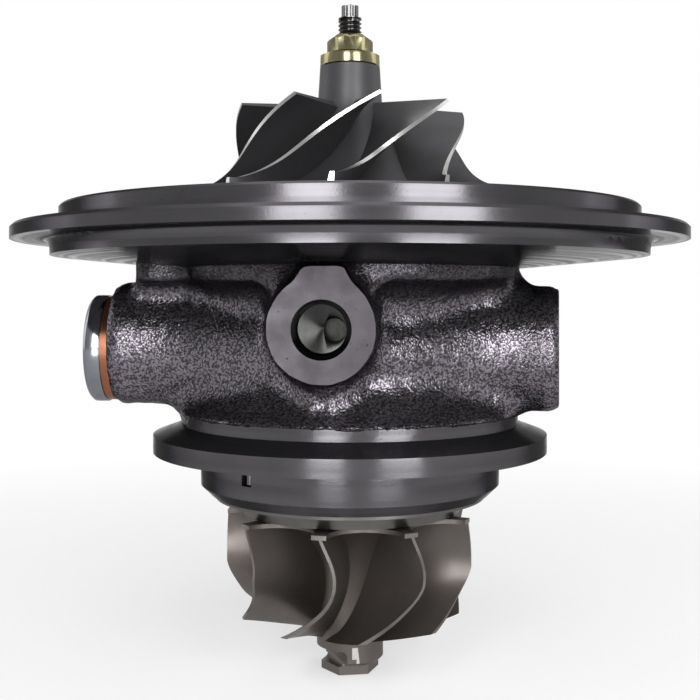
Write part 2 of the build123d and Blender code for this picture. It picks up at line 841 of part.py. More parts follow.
def rotor_shaft():
    """Shaft with the seal hub, two journals, the long stub, the thread and the driving tip."""
    groove_half = turbine_ring_width / 2 + ring_side_play
    groove_r = seal_hub_r - turbine_ring_depth
    turbine_journal_top = turbine_bearing_z + bearing_length + shaft_waist_inset
    compressor_journal_bottom = compressor_bearing_z - shaft_waist_inset
    taper = journal_r - shaft_waist_r
    shaft = turned(
        (0, seal_hub_bottom_z),
        (seal_hub_r, seal_hub_bottom_z),
        (seal_hub_r, turbine_ring_z - groove_half),
        (groove_r, turbine_ring_z - groove_half),
        (groove_r, turbine_ring_z + groove_half),
        (seal_hub_r, turbine_ring_z + groove_half),
        (seal_hub_r, slinger_cavity_z),
        (journal_r, slinger_cavity_z + journal_fillet, journal_fillet),
        (journal_r, turbine_journal_top),
        (shaft_waist_r, turbine_journal_top + taper),
        (shaft_waist_r, compressor_journal_bottom - taper),
        (journal_r, compressor_journal_bottom),
        (journal_r, shoulder_z),
        (stub_r, shoulder_z),
        (stub_r, stub_top_z),
        (thread_r, stub_top_z + stub_r - thread_r),
        (thread_r, thread_top_z),
        (tip_r, thread_top_z),
        (tip_r, tip_top_z),
        (0, tip_top_z),
    )
    flute = Pos(tip_r, 0, 0) * rod(tip_flute_r, thread_top_z, tip_top_z)
    for cutter in spun(flute, tip_flutes):
        shaft -= cutter
    return shaft


def thrust_collar():
    """Collar against the shaft shoulder, whose sleeve passes through the thrust plate."""
    disc_top = shoulder_z + collar_disc_thickness
    return turned(
        (stub_r, shoulder_z),
        (collar_disc_r, shoulder_z),
        (collar_disc_r, disc_top),
        (thrust_sleeve_r, disc_top),
        (thrust_sleeve_r, sleeve_z),
        (stub_r, sleeve_z),
    )


def seal_sleeve():
    """Oil flinger disc and sleeve that carries the compressor-end ring."""
    disc_top = sleeve_z + sleeve_disc_thickness
    groove_half = compressor_ring_width / 2 + ring_side_play
    groove_r = sleeve_r - compressor_ring_depth
    return turned(
        (stub_r, sleeve_z),
        (sleeve_disc_r, sleeve_z),
        (sleeve_disc_r, disc_top),
        (sleeve_r, disc_top),
        (sleeve_r, compressor_ring_z - groove_half),
        (groove_r, compressor_ring_z - groove_half),
        (groove_r, compressor_ring_z + groove_half),
        (sleeve_r, compressor_ring_z + groove_half),
        (sleeve_r, wheel_seat_z),
        (stub_r, wheel_seat_z),
    )


def at_angle(radius, height, angle):
    """Point at an angle seen from the front: 0 faces -Y, positive turns towards +X."""
    turn = math.radians(angle)
    return Vector(radius * math.sin(turn), -radius * math.cos(turn), height)


def compressor_hub_line():
    """Hub contour where the blades stand, from the inducer to the rim."""
    rim_z = wheel_back_z + exducer_rim
    return Spline(
        (hub_neck_r, hub_neck_z),
        (hub_neck_r + hub_waist_out, hub_neck_z - hub_waist_drop),
        (hub_neck_r + hub_flare_out, rim_z + hub_flare_rise),
        (exducer_r - hub_foot_inset, rim_z + hub_foot_rise),
        (exducer_r, rim_z),
    )


def compressor_tip_line():
    """Contour of the blade tips, from the inducer to the rim."""
    rim_z = wheel_back_z + exducer_rim + exducer_height
    return Spline(
        (inducer_r, inducer_z),
        (inducer_r, inducer_z - tip_straight),
        (inducer_r + tip_flare_out, rim_z + tip_flare_rise),
        (inducer_r + tip_foot_out, rim_z + tip_foot_rise),
        (exducer_r, rim_z),
    )


def compressor_camber(root_line, tip_line, share):
    """Root and tip points of the blade's middle surface at a share of its length."""
    root = root_line @ share
    tip = tip_line @ share
    root_turn = compressor_root_wrap * (1 - (1 - share) ** compressor_root_power)
    tip_turn = compressor_tip_wrap * (1 - (1 - share) ** compressor_tip_power)
    return at_angle(root.X, root.Y, -root_turn), at_angle(tip.X, tip.Y, -tip_turn)


def compressor_section(root_line, tip_line, share):
    """Flat four-cornered section across the blade, run a little past the root and the tip."""
    step = 0.01
    before = compressor_camber(root_line, tip_line, max(share - step, 0))
    after = compressor_camber(root_line, tip_line, min(share + step, 1))
    root, tip = compressor_camber(root_line, tip_line, share)
    stream = (after[0] - before[0]).normalized() + (after[1] - before[1]).normalized()
    span = (tip - root).normalized()
    across = span.cross(stream).normalized()
    low = root - span * compressor_root_overrun
    high = tip + span * compressor_tip_overrun
    side_low = across * (compressor_root_thickness / 2)
    side_high = across * (compressor_tip_thickness / 2)
    return Wire.make_polygon([low - side_low, high - side_high, high + side_high, low + side_low])


def compressor_blade():
    """One backswept blade, still longer than the contour that trims it."""
    root_line = compressor_hub_line()
    tip_line = compressor_tip_line()
    shares = [i / (compressor_stations - 1) for i in range(compressor_stations)]
    return Solid.make_loft([compressor_section(root_line, tip_line, share) for share in shares])


def compressor_envelope():
    """Space swept by the compressor blades' tips."""
    tip_line = compressor_tip_line()
    top_z = inducer_z + inducer_top_room
    rest = Polyline(
        (exducer_r, wheel_back_z + exducer_rim + exducer_height),
        (exducer_r, wheel_back_z),
        (0, wheel_back_z),
        (0, top_z),
        (inducer_r, top_z),
        (inducer_r, inducer_z),
    )
    swept = revolve(Plane.XZ * make_face(tip_line + rest), Axis.Z)
    return swept & rod(exducer_r - compressor_edge_inset, wheel_back_z, top_z)


def compressor_wheel():
    """Nine-blade compressor wheel with a plain bore."""
    hub_line = compressor_hub_line()
    rest = Polyline(
        (exducer_r, wheel_back_z + exducer_rim),
        (exducer_r, wheel_back_z),
        (sleeve_r, wheel_back_z),
        (sleeve_r, wheel_seat_z),
        (stub_r, wheel_seat_z),
        (stub_r, hub_nose_z),
        (hub_nose_r, hub_nose_z),
        (hub_neck_r, hub_neck_z),
    )
    wheel = revolve(Plane.XZ * make_face(hub_line + rest), Axis.Z)
    blade = Rot(0, 0, compressor_lead_angle) * (compressor_blade() & compressor_envelope())
    return wheel.fuse(*spun(blade, compressor_blades))


def turbine_turn(height):
    """Angle of the turbine blade at a height, the same at every radius."""
    share = (turbine_sweep_start_z - height) / (turbine_sweep_start_z - turbine_exit_z)
    share = max(share, 0)
    return turbine_lead_angle + turbine_lean * share - turbine_wrap * share**turbine_wrap_power


def turbine_section(height, reach):
    """Flat section across one turbine blade at a height, from inside the hub to past the tip."""
    step = 0.2
    slope = math.radians(turbine_turn(height + step) - turbine_turn(height - step)) / (2 * step)
    turn = turbine_turn(height)
    inner_r = turbine_nose_r - turbine_root_sink
    corners = []
    for radius, thickness, side in (
        (inner_r, turbine_root_thickness, -1),
        (reach, turbine_tip_thickness, -1),
        (reach, turbine_tip_thickness, 1),
        (inner_r, turbine_root_thickness, 1),
    ):
        half = side * thickness / 2 * math.hypot(1, radius * slope)
        corners.append(Vector(half, -radius, height).rotate(Axis.Z, turn))
    return Wire.make_polygon(corners)


def turbine_tip_line():
    """Contour of the turbine blade tips from the inlet edge to the exit."""
    return Spline(
        (turbine_r, turbine_edge_z),
        (turbine_exit_r + turbine_tip_swell, turbine_edge_z - turbine_tip_drop),
        (turbine_exit_r, turbine_exit_z),
        tangents=((-turbine_inlet_lean, -1), (-turbine_exit_lean, -1)),
    )


def turbine_envelope():
    """Space swept by the turbine blades."""
    rest = Polyline(
        (turbine_exit_r, turbine_exit_z),
        (turbine_exit_root_r, turbine_exit_root_z),
        (0, turbine_exit_root_z),
        (0, turbine_back_z),
        (turbine_r, turbine_back_z),
        (turbine_r, turbine_edge_z),
    )
    return revolve(Plane.XZ * make_face(turbine_tip_line() + rest), Axis.Z)


def turbine_blade():
    """One radial-fibred turbine blade, still longer than the contour that trims it."""
    span = turbine_back_z - turbine_root_z
    heights = [turbine_back_z - span * i / (turbine_stations - 1) for i in range(turbine_stations)]
    return Solid.make_loft([turbine_section(height, turbine_r + 1) for height in heights])


def balance_relief():
    """Space ground away on one side of the nose to balance the rotor."""
    low = turbine_nose_shoulder_z - relief_shoulder
    flat = turbine_nose_r - relief_depth
    space = block((flat, -turbine_nose_r, low), (turbine_nose_r + 1, turbine_nose_r, low + relief_height))
    inner_edges = space.edges().filter_by(Axis.Y).filter_by_position(Axis.X, flat - 0.1, flat + 0.1)
    return Rot(0, 0, relief_angle - 90) * fillet(inner_edges, relief_round)


def turbine_hub():
    """Hub with its scalloped back disc, the weld boss towards the shaft and the hexagon nose."""
    back_low = turbine_back_z - turbine_back_thickness
    nose_start_z = turbine_exit_root_z + turbine_nose_start
    land_r = scallop_min_r - scallop_step
    side = Spline(
        (land_r, back_low),
        (turbine_belly_r, back_low - turbine_belly_depth),
        (turbine_nose_r + turbine_throat_out, back_low - turbine_throat_depth),
        (turbine_nose_r, nose_start_z),
    )
    rest = Polyline(
        (turbine_nose_r, nose_start_z),
        (turbine_nose_r, turbine_nose_shoulder_z + turbine_nose_chamfer),
        (turbine_nose_r - turbine_nose_chamfer, turbine_nose_shoulder_z),
        (0, turbine_nose_shoulder_z),
        (0, seal_hub_bottom_z),
        (seal_hub_r, seal_hub_bottom_z),
        (seal_hub_r, turbine_back_z),
        (turbine_r, turbine_back_z),
        (turbine_r, back_low),
        (land_r, back_low),
    )
    hub = revolve(Plane.XZ * make_face(side + rest), Axis.Z)
    hexagon = Rot(0, 0, turbine_hex_turn) * RegularPolygon(turbine_hex_r, 6)
    hub += Pos(0, 0, turbine_nose_shoulder_z - turbine_hex_length) * extrude(hexagon, turbine_hex_length)
    hub -= balance_relief()
    half_turn = math.pi / turbine_blades - math.asin(scallop_land / 2 / turbine_r)
    edge_x = turbine_r * math.cos(half_turn)
    centre_r = (turbine_r**2 - scallop_min_r**2) / 2 / (edge_x - scallop_min_r)
    scallop_r = centre_r - scallop_min_r
    scallop = Pos(0, -centre_r, 0) * rod(scallop_r, back_low - 1, turbine_back_z)
    middle = Rot(0, 0, turbine_lead_angle + 180 / turbine_blades)
    for cutter in spun(middle * scallop, turbine_blades):
        hub -= cutter
    return hub


def turbine_wheel():
    """Nine-blade turbine wheel."""
    blade = turbine_blade() & turbine_envelope()
    return turbine_hub().fuse(*spun(blade, turbine_blades))


def compressor_nut():
    """Twelve-point flange nut that clamps the compressor wheel."""
    flange_top = hub_nose_z + nut_flange_height
    cone_top = flange_top + nut_cone_height
    nut = turned(
        (0, hub_nose_z),
        (nut_flange_r - nut_edge, hub_nose_z),
        (nut_flange_r, hub_nose_z + nut_edge),
        (nut_flange_r, flange_top),
        (nut_points_r, cone_top),
        (0, cone_top),
    )
    points = RegularPolygon(nut_points_r, 6) + Rot(0, 0, 30) * RegularPolygon(nut_points_r, 6)
    crown = turned(
        (0, cone_top),
        (nut_points_r, cone_top),
        (nut_points_r, nut_top_z - nut_crown_height),
        (nut_points_r - nut_crown_inset, nut_top_z),
        (0, nut_top_z),
    )
    nut += Pos(0, 0, cone_top) * extrude(points, nut_points_height) & crown
    return nut - rod(thread_r, hub_nose_z, nut_top_z)


def write_parts():
    """Build every piece and write it to its own file."""
    turbine_groove_r = seal_hub_r - turbine_ring_depth
    compressor_groove_r = sleeve_r - compressor_ring_depth
    pieces = {
        "bearing_housing": bearing_housing(),
        "locating_pin": locating_pin(),
        "water_plug": water_plug(),
        "plug_washer": plug_washer(),
        "heat_shield": heat_shield(),
        "journal_bearing_turbine": journal_bearing(turbine_bearing_z),
        "journal_bearing_compressor": journal_bearing(compressor_bearing_z),
        "bearing_circlips": bearing_circlips(),
        "thrust_bearing": thrust_bearing(),
        "thrust_bearing_dowels": thrust_bearing_dowels(),
        "oil_deflector": oil_deflector(),
        "seal_plate": seal_plate(),
        "seal_plate_o_ring": seal_plate_o_ring(),
        "seal_plate_circlip": seal_plate_circlip(),
        "piston_ring_turbine": piston_ring(seal_bore_r, turbine_groove_r, turbine_ring_z, turbine_ring_width),
        "piston_ring_compressor": piston_ring(
            sleeve_bore_r, compressor_groove_r, compressor_ring_z, compressor_ring_width
        ),
        "rotor_shaft": rotor_shaft(),
        "thrust_collar": thrust_collar(),
        "seal_sleeve": seal_sleeve(),
        "compressor_wheel": compressor_wheel(),
        "turbine_wheel": turbine_wheel(),
        "compressor_nut": compressor_nut(),
    }
    os.makedirs("parts", exist_ok=True)
    for name, piece in pieces.items():
        export_step(piece, os.path.join("parts", name + ".step"))


write_parts()
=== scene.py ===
import json
import logging
import math
from dataclasses import dataclass, field
from enum import Enum
from typing import Callable, Sequence

import bpy
from mathutils import Matrix, Vector


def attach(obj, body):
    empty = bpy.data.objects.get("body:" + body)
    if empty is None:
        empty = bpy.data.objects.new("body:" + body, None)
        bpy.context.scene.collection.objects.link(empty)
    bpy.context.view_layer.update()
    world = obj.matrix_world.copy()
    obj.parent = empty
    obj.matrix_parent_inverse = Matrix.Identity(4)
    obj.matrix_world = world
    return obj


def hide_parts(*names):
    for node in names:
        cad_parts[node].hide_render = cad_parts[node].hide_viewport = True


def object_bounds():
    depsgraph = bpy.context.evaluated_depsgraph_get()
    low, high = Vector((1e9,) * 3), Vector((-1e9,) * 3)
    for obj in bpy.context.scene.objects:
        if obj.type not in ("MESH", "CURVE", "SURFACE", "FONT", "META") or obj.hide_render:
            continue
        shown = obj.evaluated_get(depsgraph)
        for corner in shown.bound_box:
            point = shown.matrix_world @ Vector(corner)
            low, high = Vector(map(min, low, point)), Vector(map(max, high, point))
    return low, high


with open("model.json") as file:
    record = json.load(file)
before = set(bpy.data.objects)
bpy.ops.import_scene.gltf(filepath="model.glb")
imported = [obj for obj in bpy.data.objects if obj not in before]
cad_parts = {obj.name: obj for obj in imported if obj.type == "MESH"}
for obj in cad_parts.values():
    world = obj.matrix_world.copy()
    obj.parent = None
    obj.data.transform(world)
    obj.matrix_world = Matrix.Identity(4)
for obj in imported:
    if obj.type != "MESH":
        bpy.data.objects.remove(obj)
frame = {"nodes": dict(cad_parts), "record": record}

LOG = logging.getLogger("turbo_cartridge")
CAD_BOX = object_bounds()
MM = 0.001
LAP = 0.1 * MM  # how far solids that cut or join run into each other
CLEAR = 2 * MM  # how far a cutter runs out of the face that it starts at
STRAIGHT = 0.99  # least cosine between a milled face and the way it points


class CastZone(Enum):
    """Material slots of the cast middle of the bearing housing."""

    CAST = 0
    MACHINED = 1
    BORE = 2


class EndZone(Enum):
    """Material slots of the bearing housing's machined ends."""

    TURNED = 0
    CAST = 1


class WheelZone(Enum):
    """Material slots of a wheel."""

    BLADE = 0
    TIP = 1
    MARK = 2


# Selecting and shaping


def deselect() -> None:
    """Clear the selection, so that an operator acts only on its own piece."""
    for thing in bpy.context.selected_objects:
        thing.select_set(False)


def activate(thing: bpy.types.Object) -> bpy.types.Object:
    """Make one object the only selected and active one.

    Args:
        thing: Object that the next operators act on.

    Returns:
        The same object.
    """
    deselect()
    thing.select_set(True)
    bpy.context.view_layer.objects.active = thing
    return thing


def place_applied(thing: bpy.types.Object) -> bpy.types.Object:
    """Put an object's place into its mesh, which leaves it at the origin.

    Args:
        thing: Object to work on.

    Returns:
        The same object.
    """
    activate(thing)
    bpy.ops.object.transform_apply(location=True, rotation=True, scale=True)
    return thing


def edit(thing: bpy.types.Object, work: Callable[[], None]) -> bpy.types.Object:
    """Run operators on all of a mesh in edit mode.

    Args:
        thing: Mesh object to work on.
        work: Function that calls the edit operators.

    Returns:
        The same object, back in object mode.
    """
    activate(thing)
    bpy.ops.object.mode_set(mode="EDIT")
    bpy.ops.mesh.select_all(action="SELECT")
    work()
    bpy.ops.object.mode_set(mode="OBJECT")
    return thing


def apply_modifier(thing: bpy.types.Object, kind: str, **settings: object) -> bpy.types.Object:
    """Add a modifier, set it up and apply it.

    Args:
        thing: Object that gets the modifier.
        kind: Blender's name for the type of modifier.
        **settings: Values for the modifier's own properties.

    Returns:
        The same object with the modifier applied.
    """
    modifier = thing.modifiers.new(kind.title(), kind)
    for name, value in settings.items():
        setattr(modifier, name, value)
    activate(thing)
    bpy.ops.object.modifier_apply(modifier=modifier.name)
    return thing


def combine(thing: bpy.types.Object, other: bpy.types.Object, operation: str) -> bpy.types.Object:
    """Cut, join or trim a solid by another one, which is then removed.

    Args:
        thing: Solid that stays.
        other: Solid that shapes it.
        operation: DIFFERENCE, UNION or INTERSECT.

    Returns:
        The shaped solid.
    """
    apply_modifier(thing, "BOOLEAN", object=other, operation=operation, solver="EXACT")
    bpy.data.objects.remove(other)
    return thing


def join(things: Sequence[bpy.types.Object], name: str) -> bpy.types.Object:
    """Join several objects into one.

    Args:
        things: Objects to join; the first one stays.
        name: Name of the joined object.

    Returns:
        The joined object.
    """
    activate(things[0])
    for thing in things:
        thing.select_set(True)
    bpy.ops.object.join()
    joined = bpy.context.view_layer.objects.active
    joined.name = name
    return joined


def smooth(thing: bpy.types.Object, degrees: float = 30.0) -> bpy.types.Object:
    """Shade smooth, with edges sharper than an angle kept crisp.

    Args:
        thing: Object to work on.
        degrees: Angle between two faces from which their edge stays crisp.

    Returns:
        The same object.
    """
    activate(thing)
    bpy.ops.object.shade_smooth_by_angle(angle=math.radians(degrees))
    return thing


def merged_copy(node: str, name: str) -> bpy.types.Object:
    """Copy a node of the frame as one connected mesh.

    Args:
        node: Name of the node.
        name: Name of the new piece.

    Returns:
        The new object, at the origin.
    """
    source = frame["nodes"][node]
    copy = bpy.data.objects.new(name, source.data.copy())
    bpy.context.scene.collection.objects.link(copy)
    copy.data.materials.clear()
    activate(copy)
    if copy.data.has_custom_normals:
        bpy.ops.mesh.customdata_custom_splitnormals_clear()
    return edit(copy, lambda: bpy.ops.mesh.remove_doubles(threshold=0.002 * MM))


def cylinder(
    name: str,
    radius: float,
    start: Vector,
    end: Vector,
    end_radius: float | None = None,
    sides: int = 96,
) -> bpy.types.Object:
    """Cylinder or cone between two points, with its place in its mesh.

    Args:
        name: Name of the object.
        radius: Radius at the start.
        start: Centre of the first end.
        end: Centre of the other end.
        end_radius: Radius at the end, where it differs.
        sides: Number of sides.

    Returns:
        The new solid.
    """
    along = end - start
    deselect()
    bpy.ops.mesh.primitive_cone_add(
        vertices=sides,
        radius1=radius,
        radius2=radius if end_radius is None else end_radius,
        depth=along.length,
        location=(start + end) / 2,
        rotation=along.to_track_quat("Z", "Y").to_euler(),
    )
    thing = bpy.context.view_layer.objects.active
    thing.name = name
    return place_applied(thing)


def upright(name: str, radius: float, low: float, high: float, sides: int = 96) -> bpy.types.Object:
    """Cylinder about the Z axis, between two heights."""
    return cylinder(name, radius, Vector((0, 0, low)), Vector((0, 0, high)), sides=sides)


def box(name: str, low: Vector, high: Vector) -> bpy.types.Object:
    """Box between two opposite corners, with its place in its mesh.

    Args:
        name: Name of the object.
        low: Corner with the lowest values.
        high: Corner with the highest.

    Returns:
        The new solid.
    """
    deselect()
    bpy.ops.mesh.primitive_cube_add(size=1, location=(low + high) / 2, scale=high - low)
    thing = bpy.context.view_layer.objects.active
    thing.name = name
    return place_applied(thing)


def thread(
    name: str,
    root: float,
    crest: float,
    pitch: float,
    turns: float,
    place: Matrix,
    steps: int = 40,
) -> bpy.types.Object:
    """Screw thread ridge, wound from a triangular profile.

    Args:
        name: Name of the piece.
        root: Radius at the ridge's foot, a little inside the metal that carries it.
        crest: Radius at the ridge's top; smaller than root for an internal thread.
        pitch: Height of one turn.
        turns: Number of turns.
        place: Matrix that moves the ridge from the Z axis to its place.
        steps: Steps in one turn.

    Returns:
        The closed ridge.
    """
    half_height = pitch * 0.45
    corner = pitch * 0.2
    foot = pitch * 0.1
    deselect()
    bpy.ops.mesh.primitive_circle_add(
        vertices=4, radius=half_height, location=(0, 0, 0), rotation=(math.pi / 2, 0, 0)
    )
    thing = bpy.context.view_layer.objects.active
    thing.name = name
    place_applied(thing)
    side = 1 if crest > root else -1
    for vertex in thing.data.vertices:
        outward = vertex.co.x * side
        if outward > corner:
            vertex.co.x = crest
        elif outward < -corner:
            vertex.co.x = root - side * foot
        else:
            vertex.co.x = root
    apply_modifier(
        thing,
        "SCREW",
        axis="Z",
        angle=math.tau * turns,
        screw_offset=pitch * turns,
        steps=int(steps * turns),
        render_steps=int(steps * turns),
        use_merge_vertices=False,
    )

    def close_ends() -> None:
        """Merge the turns and close the ridge at both ends."""
        bpy.ops.mesh.remove_doubles(threshold=0.001 * MM)
        bpy.ops.mesh.select_all(action="DESELECT")
        bpy.ops.mesh.select_non_manifold()
        bpy.ops.mesh.fill_holes(sides=8)
        bpy.ops.mesh.select_all(action="SELECT")
        bpy.ops.mesh.normals_make_consistent(inside=False)

    edit(thing, close_ends)
    thing.data.transform(place)
    return smooth(thing, 40)


# Finishes


class NodeLine:
    """Places nodes in a tree and links them."""

    def __init__(self, tree: bpy.types.NodeTree) -> None:
        """Start on a tree.

        Args:
            tree: Tree that gets the nodes.
        """
        self.tree = tree

    def add(
        self, kind: str, inputs: dict[str | int, object] | None = None, **settings: object
    ) -> bpy.types.Node:
        """Add one node.

        Args:
            kind: Blender's node type.
            inputs: Values or sockets for its inputs, by name or number.
            **settings: Values for the node's own properties.

        Returns:
            The new node.
        """
        node = self.tree.nodes.new(kind)
        for name, value in settings.items():
            setattr(node, name, value)
        for name, value in (inputs or {}).items():
            if isinstance(value, bpy.types.NodeSocket):
                self.tree.links.new(value, node.inputs[name])
            else:
                node.inputs[name].default_value = value
        return node

    def math(self, operation: str, first: object, second: object = 0.0) -> bpy.types.NodeSocket:
        """Add a Math node and give its result."""
        return self.add("ShaderNodeMath", {0: first, 1: second}, operation=operation).outputs[0]

    def ramp(
        self, value: object, low: float, high: float, start: float = 0.0, end: float = 1.0
    ) -> bpy.types.NodeSocket:
        """Map a range of a value to another range, clamped.

        Args:
            value: Value or socket to map.
            low: Value that gives the start.
            high: Value that gives the end.
            start: Result at the low value.
            end: Result at the high value.

        Returns:
            The mapped value.
        """
        node = self.add(
            "ShaderNodeMapRange",
            {"Value": value, "From Min": low, "From Max": high, "To Min": start, "To Max": end},
            clamp=True,
        )
        return node.outputs["Result"]

    def mix(self, factor: object, first: object, second: object) -> bpy.types.NodeSocket:
        """Mix two colours and give the result."""
        values = {0: factor, 6: first, 7: second}  # 6 and 7 are the colour sockets
        return self.add("ShaderNodeMix", values, data_type="RGBA", clamp_factor=True).outputs[2]

    def radius(self, parts: bpy.types.Node) -> bpy.types.NodeSocket:
        """Distance from the Z axis, from a place that is split into its parts."""
        squares = [self.math("POWER", parts.outputs[i], 2.0) for i in range(2)]
        return self.math("SQRT", self.math("ADD", *squares))

    def bump(
        self, height: bpy.types.NodeSocket, depth: float, below: bpy.types.NodeSocket | None
    ) -> bpy.types.NodeSocket:
        """Add a bump, over another one where there is one, and give its normal.

        Args:
            height: Height of the surface, from 0 to 1.
            depth: Depth of the marks in metres.
            below: Normal that an earlier bump gives.

        Returns:
            The bumped normal.
        """
        node = self.add("ShaderNodeBump", {"Height": height, "Distance": depth})
        if below is not None:
            self.tree.links.new(below, node.inputs["Normal"])
        return node.outputs["Normal"]

    def background_rays(self, glossy_level: object = 1.0) -> bpy.types.NodeSocket:
        """Rays that meet the plain background: the camera's, reflections and through glass.

        Args:
            glossy_level: Share of the background that reflections show.

        Returns:
            A level that is 1 for the camera's rays and 0 for the lamps' own light.
        """
        path = self.add("ShaderNodeLightPath")
        glossy = self.math("MULTIPLY", path.outputs["Is Glossy Ray"], glossy_level)
        seen = self.math("MAXIMUM", path.outputs["Is Camera Ray"], glossy)
        return self.math("MAXIMUM", seen, path.outputs["Is Transmission Ray"])


def colour(red: float, green: float, blue: float) -> tuple[float, float, float, float]:
    """Opaque colour from its linear parts."""
    return (red, green, blue, 1.0)


class EffectGroups:
    """Shader node groups that several finishes share."""

    def __init__(self) -> None:
        """Build every group once."""
        self.grain = self.cast_grain()
        self.turning = self.turning_marks()
        self.specks = self.bright_specks()
        self.blotches = self.soft_blotches()

    def start(
        self, name: str, inputs: dict[str, float], outputs: Sequence[str]
    ) -> tuple[NodeLine, bpy.types.Node]:
        """Make an empty group with a Vector input and float sockets.

        Args:
            name: Name of the group.
            inputs: Float inputs with their usual values.
            outputs: Names of the float outputs.

        Returns:
            The node placer and the group's input node.
        """
        tree = bpy.data.node_groups.new(name, "ShaderNodeTree")
        tree.interface.new_socket("Vector", in_out="INPUT", socket_type="NodeSocketVector")
        for label, value in inputs.items():
            socket = tree.interface.new_socket(label, in_out="INPUT", socket_type="NodeSocketFloat")
            socket.default_value = value
        for label in outputs:
            tree.interface.new_socket(label, in_out="OUTPUT", socket_type="NodeSocketFloat")
        line = NodeLine(tree)
        return line, line.add("NodeGroupInput")

    def cast_grain(self) -> bpy.types.NodeTree:
        """Pebbled skin of a sand casting: Height for a bump, and Pits where dirt stays.

        Returns:
            The group.
        """
        line, given = self.start("cast_grain", {"Size": 1.0 * MM}, ("Height", "Pits"))
        vector = given.outputs["Vector"]
        scale = line.math("DIVIDE", 1.0, given.outputs["Size"])
        wrinkle = line.add(
            "ShaderNodeTexNoise",
            {"Vector": vector, "Scale": scale, "Detail": 1.0, "Roughness": 0.5, "Distortion": 0.5},
        )
        pebble = line.add(
            "ShaderNodeTexVoronoi",
            {"Vector": vector, "Scale": line.math("MULTIPLY", scale, 0.8), "Smoothness": 0.5},
            feature="SMOOTH_F1",
        )
        crown = line.math("SUBTRACT", 1.0, pebble.outputs["Distance"])
        crowns = line.math("MULTIPLY", crown, 0.3)
        wrinkles = line.math("MULTIPLY", wrinkle.outputs["Fac"], 0.7)
        height = line.math("ADD", crowns, wrinkles)
        pits = line.ramp(height, 0.56, 0.44)
        line.add("NodeGroupOutput", {"Height": height, "Pits": pits})
        return line.tree

    def turning_marks(self) -> bpy.types.NodeTree:
        """Fine rings that a lathe leaves about Z, on flat faces and on cylinders alike.

        Returns:
            The group.
        """
        line, given = self.start("turning_marks", {"Spacing": 0.25 * MM}, ("Height", "Tone"))
        parts = line.add("ShaderNodeSeparateXYZ", {0: given.outputs["Vector"]})
        travel = line.math("ADD", line.radius(parts), parts.outputs[2])
        along = line.math("DIVIDE", travel, given.outputs["Spacing"])
        rings, bands = (
            line.add(
                "ShaderNodeTexNoise",
                {"W": place, "Scale": 1.0, "Detail": detail},
                noise_dimensions="1D",
            )
            for place, detail in ((along, 2.0), (line.math("MULTIPLY", along, 0.11), 1.0))
        )
        line.add("NodeGroupOutput", {"Height": rings.outputs["Fac"], "Tone": bands.outputs["Fac"]})
        return line.tree

    def bright_specks(self) -> bpy.types.NodeTree:
        """Small scattered specks and nicks, as a mask.

        Returns:
            The group.
        """
        line, given = self.start("bright_specks", {"Size": 1.5 * MM, "Amount": 0.12}, ("Mask",))
        scale = line.math("DIVIDE", 1.0, given.outputs["Size"])
        vector = given.outputs["Vector"]
        cells = line.add("ShaderNodeTexVoronoi", {"Vector": vector, "Scale": scale})
        spread = line.add(
            "ShaderNodeTexNoise",
            {"Vector": vector, "Scale": line.math("MULTIPLY", scale, 0.09), "Detail": 3.0},
        )
        crowding = line.ramp(spread.outputs["Fac"], 0.4, 0.65, 0.15, 1.6)
        reach = line.math("MULTIPLY", given.outputs["Amount"], crowding)
        mask = line.ramp(line.math("SUBTRACT", cells.outputs["Distance"], reach), 0.04, 0.0)
        line.add("NodeGroupOutput", {"Mask": mask})
        return line.tree

    def soft_blotches(self) -> bpy.types.NodeTree:
        """Large soft changes of tone from oil film, handling and heat.

        Returns:
            The group.
        """
        line, given = self.start("soft_blotches", {"Size": 25.0 * MM}, ("Fac",))
        scale = line.math("DIVIDE", 1.0, given.outputs["Size"])
        cloud = line.add(
            "ShaderNodeTexNoise",
            {"Vector": given.outputs["Vector"], "Scale": scale, "Detail": 4.0, "Roughness": 0.55},
        )
        line.add("NodeGroupOutput", {"Fac": line.ramp(cloud.outputs["Fac"], 0.3, 0.7)})
        return line.tree


RING_SHARE = 0.5  # how far the darkest turning marks go to their darker tone
RING_TONE = 0.75  # the turning marks' tone, as a share of the finish's darker colour
RING_ROUGHNESS = (-0.05, 0.06)  # change of roughness from the smoothest to the roughest ring
PAINTED_SHADE_RAGGED = 3 * MM  # how far the edge of the painted shade under the disc wanders up and down
